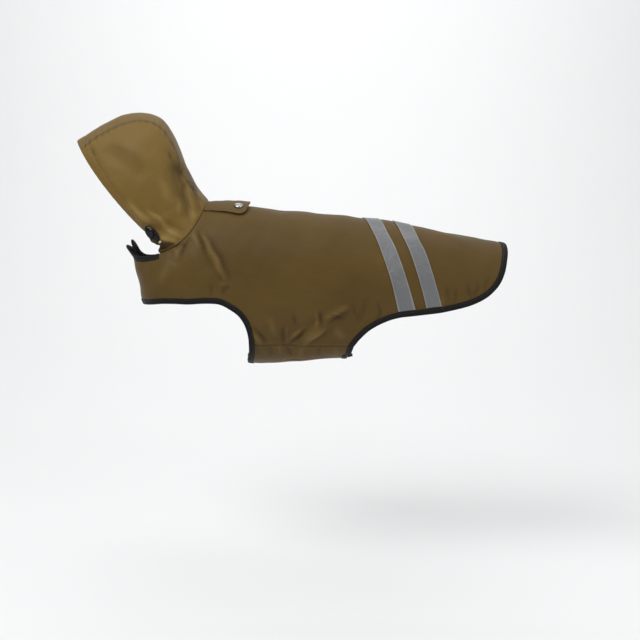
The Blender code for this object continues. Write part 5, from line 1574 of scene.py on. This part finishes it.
def make_lock(label, side):
    """A cord lock with the button of its plunger, and the drawcord's knot below it."""
    point, normal, down = lock_frame(side)
    centre = point + normal * (CLOTH + LOCK_OFF_CLOTH + LOCK_HALF_HEIGHT)
    across = np.cross(normal, down)
    rows = []
    for band in np.linspace(0, math.pi, LOCK_BANDS):
        radius, height = math.sin(band), math.cos(band)
        fuller = radius ** LOCK_ROUNDNESS
        inset = LOCK_SEAM[0] * math.exp(-(height / LOCK_SEAM[1]) ** 2)
        for turn in np.linspace(0, 2 * math.pi, LOCK_TURN_STEPS, endpoint=False):
            x = (LOCK_HALF_LENGTH - inset) * fuller * math.cos(turn)
            y = (LOCK_HALF_WIDTH - inset) * fuller * math.sin(turn)
            z = LOCK_HALF_HEIGHT * height
            if z > 0:
                z = lock_height(math.hypot(x, y), z)
            rows.append(centre + down * x + across * y + normal * z)
    size = LOCK_TURN_STEPS
    faces = [(i * size + j, i * size + (j + 1) % size, (i + 1) * size + (j + 1) % size, (i + 1) * size + j)
             for i in range(LOCK_BANDS - 1) for j in range(size)]
    lock = link_object("toggle_" + label, solid_mesh("toggle_" + label, np.array(rows), faces, "plastic"))
    top = centre + normal * (LOCK_HALF_HEIGHT + SEAM_GAP - LOCK_DISH[1])
    button = spun("toggle_button_" + label, LOCK_BUTTON, top, normal, "button", BUTTON_TURN_STEPS)
    below = centre + down * (LOCK_HALF_LENGTH + SEAM_GAP + KNOT_RADIUS)
    return lock, button, make_knot(label, below, down, normal, across)


KNOT_STEPS = 72        # points along the knot's cord
KNOT_SIDES = 10        # and round it
KNOT_SCALE = 0.58
KNOT_CORD = 0.85       # radius of the cord


def make_knot(label, centre, down, normal, across):
    """The drawcord's overhand knot below its lock."""
    turn = np.linspace(0, 2 * math.pi, KNOT_STEPS, endpoint=False)
    path = KNOT_SCALE * np.stack([np.sin(turn) + 2 * np.sin(2 * turn), np.cos(turn) - 2 * np.cos(2 * turn),
                                  -1.3 * np.sin(3 * turn)], axis=1)
    path = centre + path[:, :1] * across + path[:, 1:2] * normal + path[:, 2:] * down
    way = np.roll(path, -1, axis=0) - np.roll(path, 1, axis=0)
    way /= np.linalg.norm(way, axis=1, keepdims=True)
    side = np.cross(way, path - centre)
    side /= np.linalg.norm(side, axis=1, keepdims=True)
    other = np.cross(way, side)
    angles = np.linspace(0, 2 * math.pi, KNOT_SIDES, endpoint=False)
    rows = np.stack([path + KNOT_CORD * (math.cos(a) * side + math.sin(a) * other) for a in angles], axis=1)
    return make_swept("knot_" + label, rows, np.arange(KNOT_STEPS) * 0.7, np.arange(KNOT_SIDES) * 0.5,
                      "cord", closed=True)


# ---------------------------------------------------------------- stitching
STITCH_PITCH = 3.5               # from one stitch to the next
STITCH_LENGTH = 2.7
STITCH_THICK = 0.55
CROWN_STITCHES = (-2.6, 2.8)     # rows of stitches on both sides of a crown seam
BELLY_STITCHES = (-2.6, 2.9)     # and of the belly seam
NECK_STITCHES = 3.4              # from the neck seam down to its row


class StitchRows:
    """Places, ways and ways out of stitches, gathered from rows of points."""

    def __init__(self):
        self.places, self.ways, self.ups = [], [], []

    def add(self, points, normals, lift=0.0):
        run = run_along(points)
        marks = np.arange(STITCH_PITCH * 0.7, run[-1] - STITCH_PITCH * 0.5, STITCH_PITCH)
        if len(marks) < 2:
            return
        spots, ups = read_rows(points, run, marks), read_rows(normals, run, marks)
        ahead = read_rows(points, run, np.minimum(marks + 1.0, run[-1]))
        behind = read_rows(points, run, marks - 1.0)
        ups /= np.linalg.norm(ups, axis=1, keepdims=True)
        self.places.append(spots + ups * lift)
        self.ways.append(ahead - behind)
        self.ups.append(ups)


def stitch_tree():
    """Stitches along their rows: one small lens of thread for each place."""
    tree = bpy.data.node_groups.new("stitches", "GeometryNodeTree")
    for name, kind, value in (("Places", "NodeSocketGeometry", None),
                              ("Length", "NodeSocketFloat", 0.0027),
                              ("Thickness", "NodeSocketFloat", 0.0005),
                              ("Thread", "NodeSocketMaterial", None),
                              ("Seed", "NodeSocketInt", 3)):
        socket = tree.interface.new_socket(name=name, in_out="INPUT", socket_type=kind)
        if value is not None:
            socket.default_value = value
    tree.interface.new_socket(name="Stitches", in_out="OUTPUT", socket_type="NodeSocketGeometry")
    build = Tree(tree)
    given = build.add("NodeGroupInput").outputs
    way = build.add("GeometryNodeInputNamedAttribute", {"Name": "way"}, data_type="FLOAT_VECTOR")
    up = build.add("GeometryNodeInputNamedAttribute", {"Name": "up"}, data_type="FLOAT_VECTOR")
    first = build.add("FunctionNodeAlignRotationToVector", {"Vector": way.outputs["Attribute"]}, axis="X")
    second = build.add("FunctionNodeAlignRotationToVector", {"Rotation": first.outputs[0],
                                                            "Vector": up.outputs["Attribute"]},
                       axis="Z", pivot_axis="X")
    points = build.add("GeometryNodeMeshToPoints", {"Mesh": given["Places"]})
    ball = build.add("GeometryNodeMeshUVSphere", {"Segments": 7, "Rings": 4, "Radius": 0.5})
    size = build.add("ShaderNodeCombineXYZ",
                     {0: given["Length"], 1: given["Thickness"], 2: given["Thickness"]})
    change = build.add("FunctionNodeRandomValue", {"Seed": given["Seed"]}, data_type="FLOAT_VECTOR")
    change.inputs[0].default_value = (0.88, 0.85, 0.85)
    change.inputs[1].default_value = (1.06, 1.1, 1.1)
    scaled = build.add("ShaderNodeVectorMath", {0: size.outputs[0], 1: change.outputs[0]},
                       operation="MULTIPLY")
    copies = build.add("GeometryNodeInstanceOnPoints",
                       {"Points": points.outputs[0], "Instance": ball.outputs[0],
                        "Rotation": second.outputs[0], "Scale": scaled.outputs[0]})
    real = build.add("GeometryNodeRealizeInstances", {0: copies.outputs[0]})
    smooth = build.add("GeometryNodeSetShadeSmooth", {0: real.outputs[0]})
    dressed = build.add("GeometryNodeSetMaterial",
                        {"Geometry": smooth.outputs[0], "Material": given["Thread"]})
    build.add("NodeGroupOutput", {0: dressed.outputs[0]})
    return tree


def make_stitches(name, rows, material):
    places, ways, ups = (np.concatenate(part) for part in (rows.places, rows.ways, rows.ups))
    mesh = bpy.data.meshes.new(name + "_places")
    mesh.from_pydata((places * MM).tolist(), [], [])
    for label, values in (("way", ways), ("up", ups)):
        mesh.attributes.new(label, "FLOAT_VECTOR", "POINT").data.foreach_set("vector", values.ravel())
    marks = link_object(name + "_places", mesh)
    modifier = marks.modifiers.new("stitches", "NODES")
    modifier.node_group = STITCHES
    sizes = {"Length": STITCH_LENGTH * MM, "Thickness": STITCH_THICK * MM,
             "Thread": MATERIALS[material]}
    for item in STITCHES.interface.items_tree:
        if item.item_type == "SOCKET" and item.in_out == "INPUT" and item.name in sizes:
            modifier[item.identifier] = sizes[item.name]
    view = bpy.context.evaluated_depsgraph_get()
    view.update()
    solid = bpy.data.meshes.new_from_object(marks.evaluated_get(view))
    solid.name = name
    for layer in list(solid.attributes):
        if layer.name in ("way", "up"):
            solid.attributes.remove(layer)
    bpy.data.objects.remove(marks, do_unlink=True)
    return link_object(name, solid)


def casing_row():
    """The row of stitches that closes the casing round the hood's face edge."""
    shares = np.linspace(-0.985, 0.985, 420)
    places = np.linspace(0, 0.3, 61)
    edge = hood_surface(np.zeros_like(shares), shares)
    found = []
    for share, start in zip(shares, edge):
        off = np.linalg.norm(hood_surface(places, np.full_like(places, share)) - start, axis=1)
        found.append(np.interp(CASING_WIDTH, off, places))
    return worn_hood(np.array(found), shares)


def crown_rows(side):
    """Topstitching on both sides of one crown seam."""
    places = np.linspace(0.012, 0.985, 260)
    seams = crown_seam_at(places)
    return [worn_hood(places, side * (seams + off / HOOD_RING_LENGTH)) for off in CROWN_STITCHES]


def neck_row():
    girths = np.linspace(-1, 1, 300) * math.radians(HOOD_FOOT_ANGLE - 3)
    ring = np.interp(RING_PLACES[-FIRST_RING] + NECK_STITCHES, RING_PLACES, RING_NUMBERS)
    return worn_body(np.full_like(girths, ring), girths)


def seam_rows(side):
    """Two rows over the belly seam: on the body's side and on the strap's."""
    seam = even_count(on_torso(STRAP_SEAM), 90)[3:-3]
    rows = []
    for off in BELLY_STITCHES:
        place = seam.copy()
        place[:, 1] += off / GIRTH_SCALE
        rows.append(worn_body(place[:, 0], side * place[:, 1]))
    return rows


def tab_row():
    """Round the tab, from one side of the neck seam over its end to the other."""
    last = TAB_ROWS[-1][0] - TAB_HEM
    lengths = np.linspace(3.0, last, 40)
    share = 1 - TAB_HEM / tab_value("half_width", lengths)
    end = np.linspace(share[-1], -share[-1], 14)[1:-1]
    along = np.concatenate([lengths, np.full(len(end), last), lengths[::-1]])
    across = np.concatenate([share, end, -share[::-1]])
    return tab_surface(along, across)


STITCHES = stitch_tree()

# ---------------------------------------------------------------- dressing
def dress(piece, slot, *nodes):
    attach(piece, "root")
    if nodes:
        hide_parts(*nodes)
    return piece


body, within = make_body()
dress(body, "shell_cloth", "body_panel")
for label, side in (("left", -1), ("right", 1)):
    dress(make_strap(label, side), "shell_cloth", "belly_strap_" + label)
crown_rows_of_shares = np.stack([crown_shares(share) for share in CROWN_SEAM])
crown = dress(make_hood_piece("crown_strip", crown_rows_of_shares, "crown_cloth"),
              "hood_cloth", "hood_crown")
side_rows = np.stack([side_shares(share) for share in CROWN_SEAM])
sides = {label: dress(make_hood_piece("hood_panel_" + label, side * side_rows, "hood_cloth"),
                      "hood_cloth", "hood_side_" + label)
         for label, side in (("left", -1), ("right", 1))}

hood_turnings = [dress(neck_turning(), "hood_cloth")]
for label, side in (("left", -1), ("right", 1)):
    dress(belly_turning(label, side), "shell_cloth")
    hood_turnings.append(dress(crown_turning(label, side), "hood_cloth"))

brown, black, grey = StitchRows(), StitchRows(), StitchRows()
for node, piece, stitched in make_bindings():
    dress(piece, "binding", node)
    black.add(*stitched)
for name, (fore, aft) in tape_borders(within).items():
    dress(make_tape(name, fore, aft), "reflective_tape", name)
    for share in TAPE_STITCHES:
        line = fore + share * (aft - fore)
        spots, ups = worn_body(line[:, 0], line[:, 1])
        grey.add(spots + ups * (CLOTH + TAPE_LIFT + TAPE_OWN_WALL), ups)
brown.add(*casing_row(), lift=CLOTH)
for side in (-1, 1):
    for row in crown_rows(side) + seam_rows(side):
        brown.add(*row, lift=CLOTH)
brown.add(*neck_row(), lift=CLOTH)
tab = dress(make_tab(), "shell_cloth", "neck_tab")
brown.add(*tab_row(), lift=TAB_WALL)
centre, up = tab_frame()
snap = spun("snap_top", SNAP_CAP, centre + up * (TAB_WALL + SEAM_GAP), up, "metal")
dress(snap, "snap_metal", "snap_cap")
for label, side in (("left", -1), ("right", 1)):
    lock, button, knot = make_lock(label, side)
    dress(lock, "lock_plastic", "cord_lock_" + label)
    dress(button, "lock_plastic", "cord_lock_button_" + label)
    dress(knot, "cord", "drawcord_knot_" + label)
for name, rows, material, slot in (("seam_stitching", brown, "brown_thread", "shell_cloth"),
                                   ("binding_stitching", black, "black_thread", "binding"),
                                   ("tape_stitching", grey, "grey_thread", "reflective_tape")):
    dress(make_stitches(name, rows, material), slot)
for material_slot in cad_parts["snap_stud"].material_slots:
    material_slot.material = MATERIALS["metal"]

# ---------------------------------------------------------------- floor, light and camera
# Section of the floor, in metres: distance away from the camera and height.
FLOOR_SECTION = ((-3.0, -0.62), (0.4, -0.62), (1.3, -0.57), (2.1, -0.36), (2.7, 0.1), (3.05, 0.8),
                 (3.2, 1.8), (3.25, 3.4))
FLOOR_SIDES = (-4.5, 4.8)
# Place, aim, size and power of each light.
LIGHTS = {
    "key": ((-0.9, -1.3, 1.5), (0.1, 0.0, -0.05), (1.2, 0.9), 34.0),
    "top": ((0.4, 0.0, 2.0), (0.1, 0.0, 0.0), (1.8, 1.6), 15.0),
    "backdrop": ((0.1, 1.3, 2.2), (0.1, 3.1, 0.7), (3.4, 0.8), 36.0),
    "fill": ((1.6, -1.2, 0.5), (0.2, 0.0, -0.1), (1.0, 1.2), 8.0),
}
SENSOR = 36.0                    # width of the camera's sensor, mm
FOCAL_SHARE = 937.0 / 640.0      # focal length over the picture's width, as read from the photo
TILT_DOWN = 5.8                  # degrees


def make_floor():
    """A pale floor that curves up into a backdrop."""
    dense = track(FLOOR_SECTION, np.linspace(0, len(FLOOR_SECTION) - 1, 80))
    points = [(x, y, z) for x in FLOOR_SIDES for y, z in dense]
    count = len(dense)
    faces = [(i, i + 1, count + i + 1, count + i) for i in range(count - 1)]
    mesh = bpy.data.meshes.new("floor")
    mesh.from_pydata(points, [], faces)
    mesh.materials.append(MATERIALS["floor"])
    mesh.shade_smooth()
    floor = link_object("floor", mesh)


def add_light(name, place, aim, size, power):
    light = bpy.data.lights.new(name, "AREA")
    light.shape = "RECTANGLE"
    light.size, light.size_y = size
    light.energy = power
    thing = bpy.data.objects.new(name, light)
    bpy.context.scene.collection.objects.link(thing)
    thing.location = place
    thing.rotation_euler = (Vector(aim) - Vector(place)).to_track_quat("-Z", "Y").to_euler()


make_floor()
for name, settings in LIGHTS.items():
    add_light(name, *settings)
world = bpy.data.worlds.new("studio")
world.use_nodes = True
sky = world.node_tree.nodes["Background"].inputs
sky["Color"].default_value = (0.93, 0.94, 0.96, 1.0)
sky["Strength"].default_value = 0.55
bpy.context.scene.world = world
bpy.context.scene.view_settings.view_transform = "Standard"

camera = bpy.data.objects.new("camera", bpy.data.cameras.new("camera"))
camera.data.sensor_width = SENSOR
camera.data.lens = SENSOR * FOCAL_SHARE
camera.location = (0.136, -1.5, -0.032)
camera.rotation_euler = (math.radians(90.0 - TILT_DOWN), 0.0, 0.0)
bpy.context.scene.collection.objects.link(camera)
bpy.context.scene.camera = camera
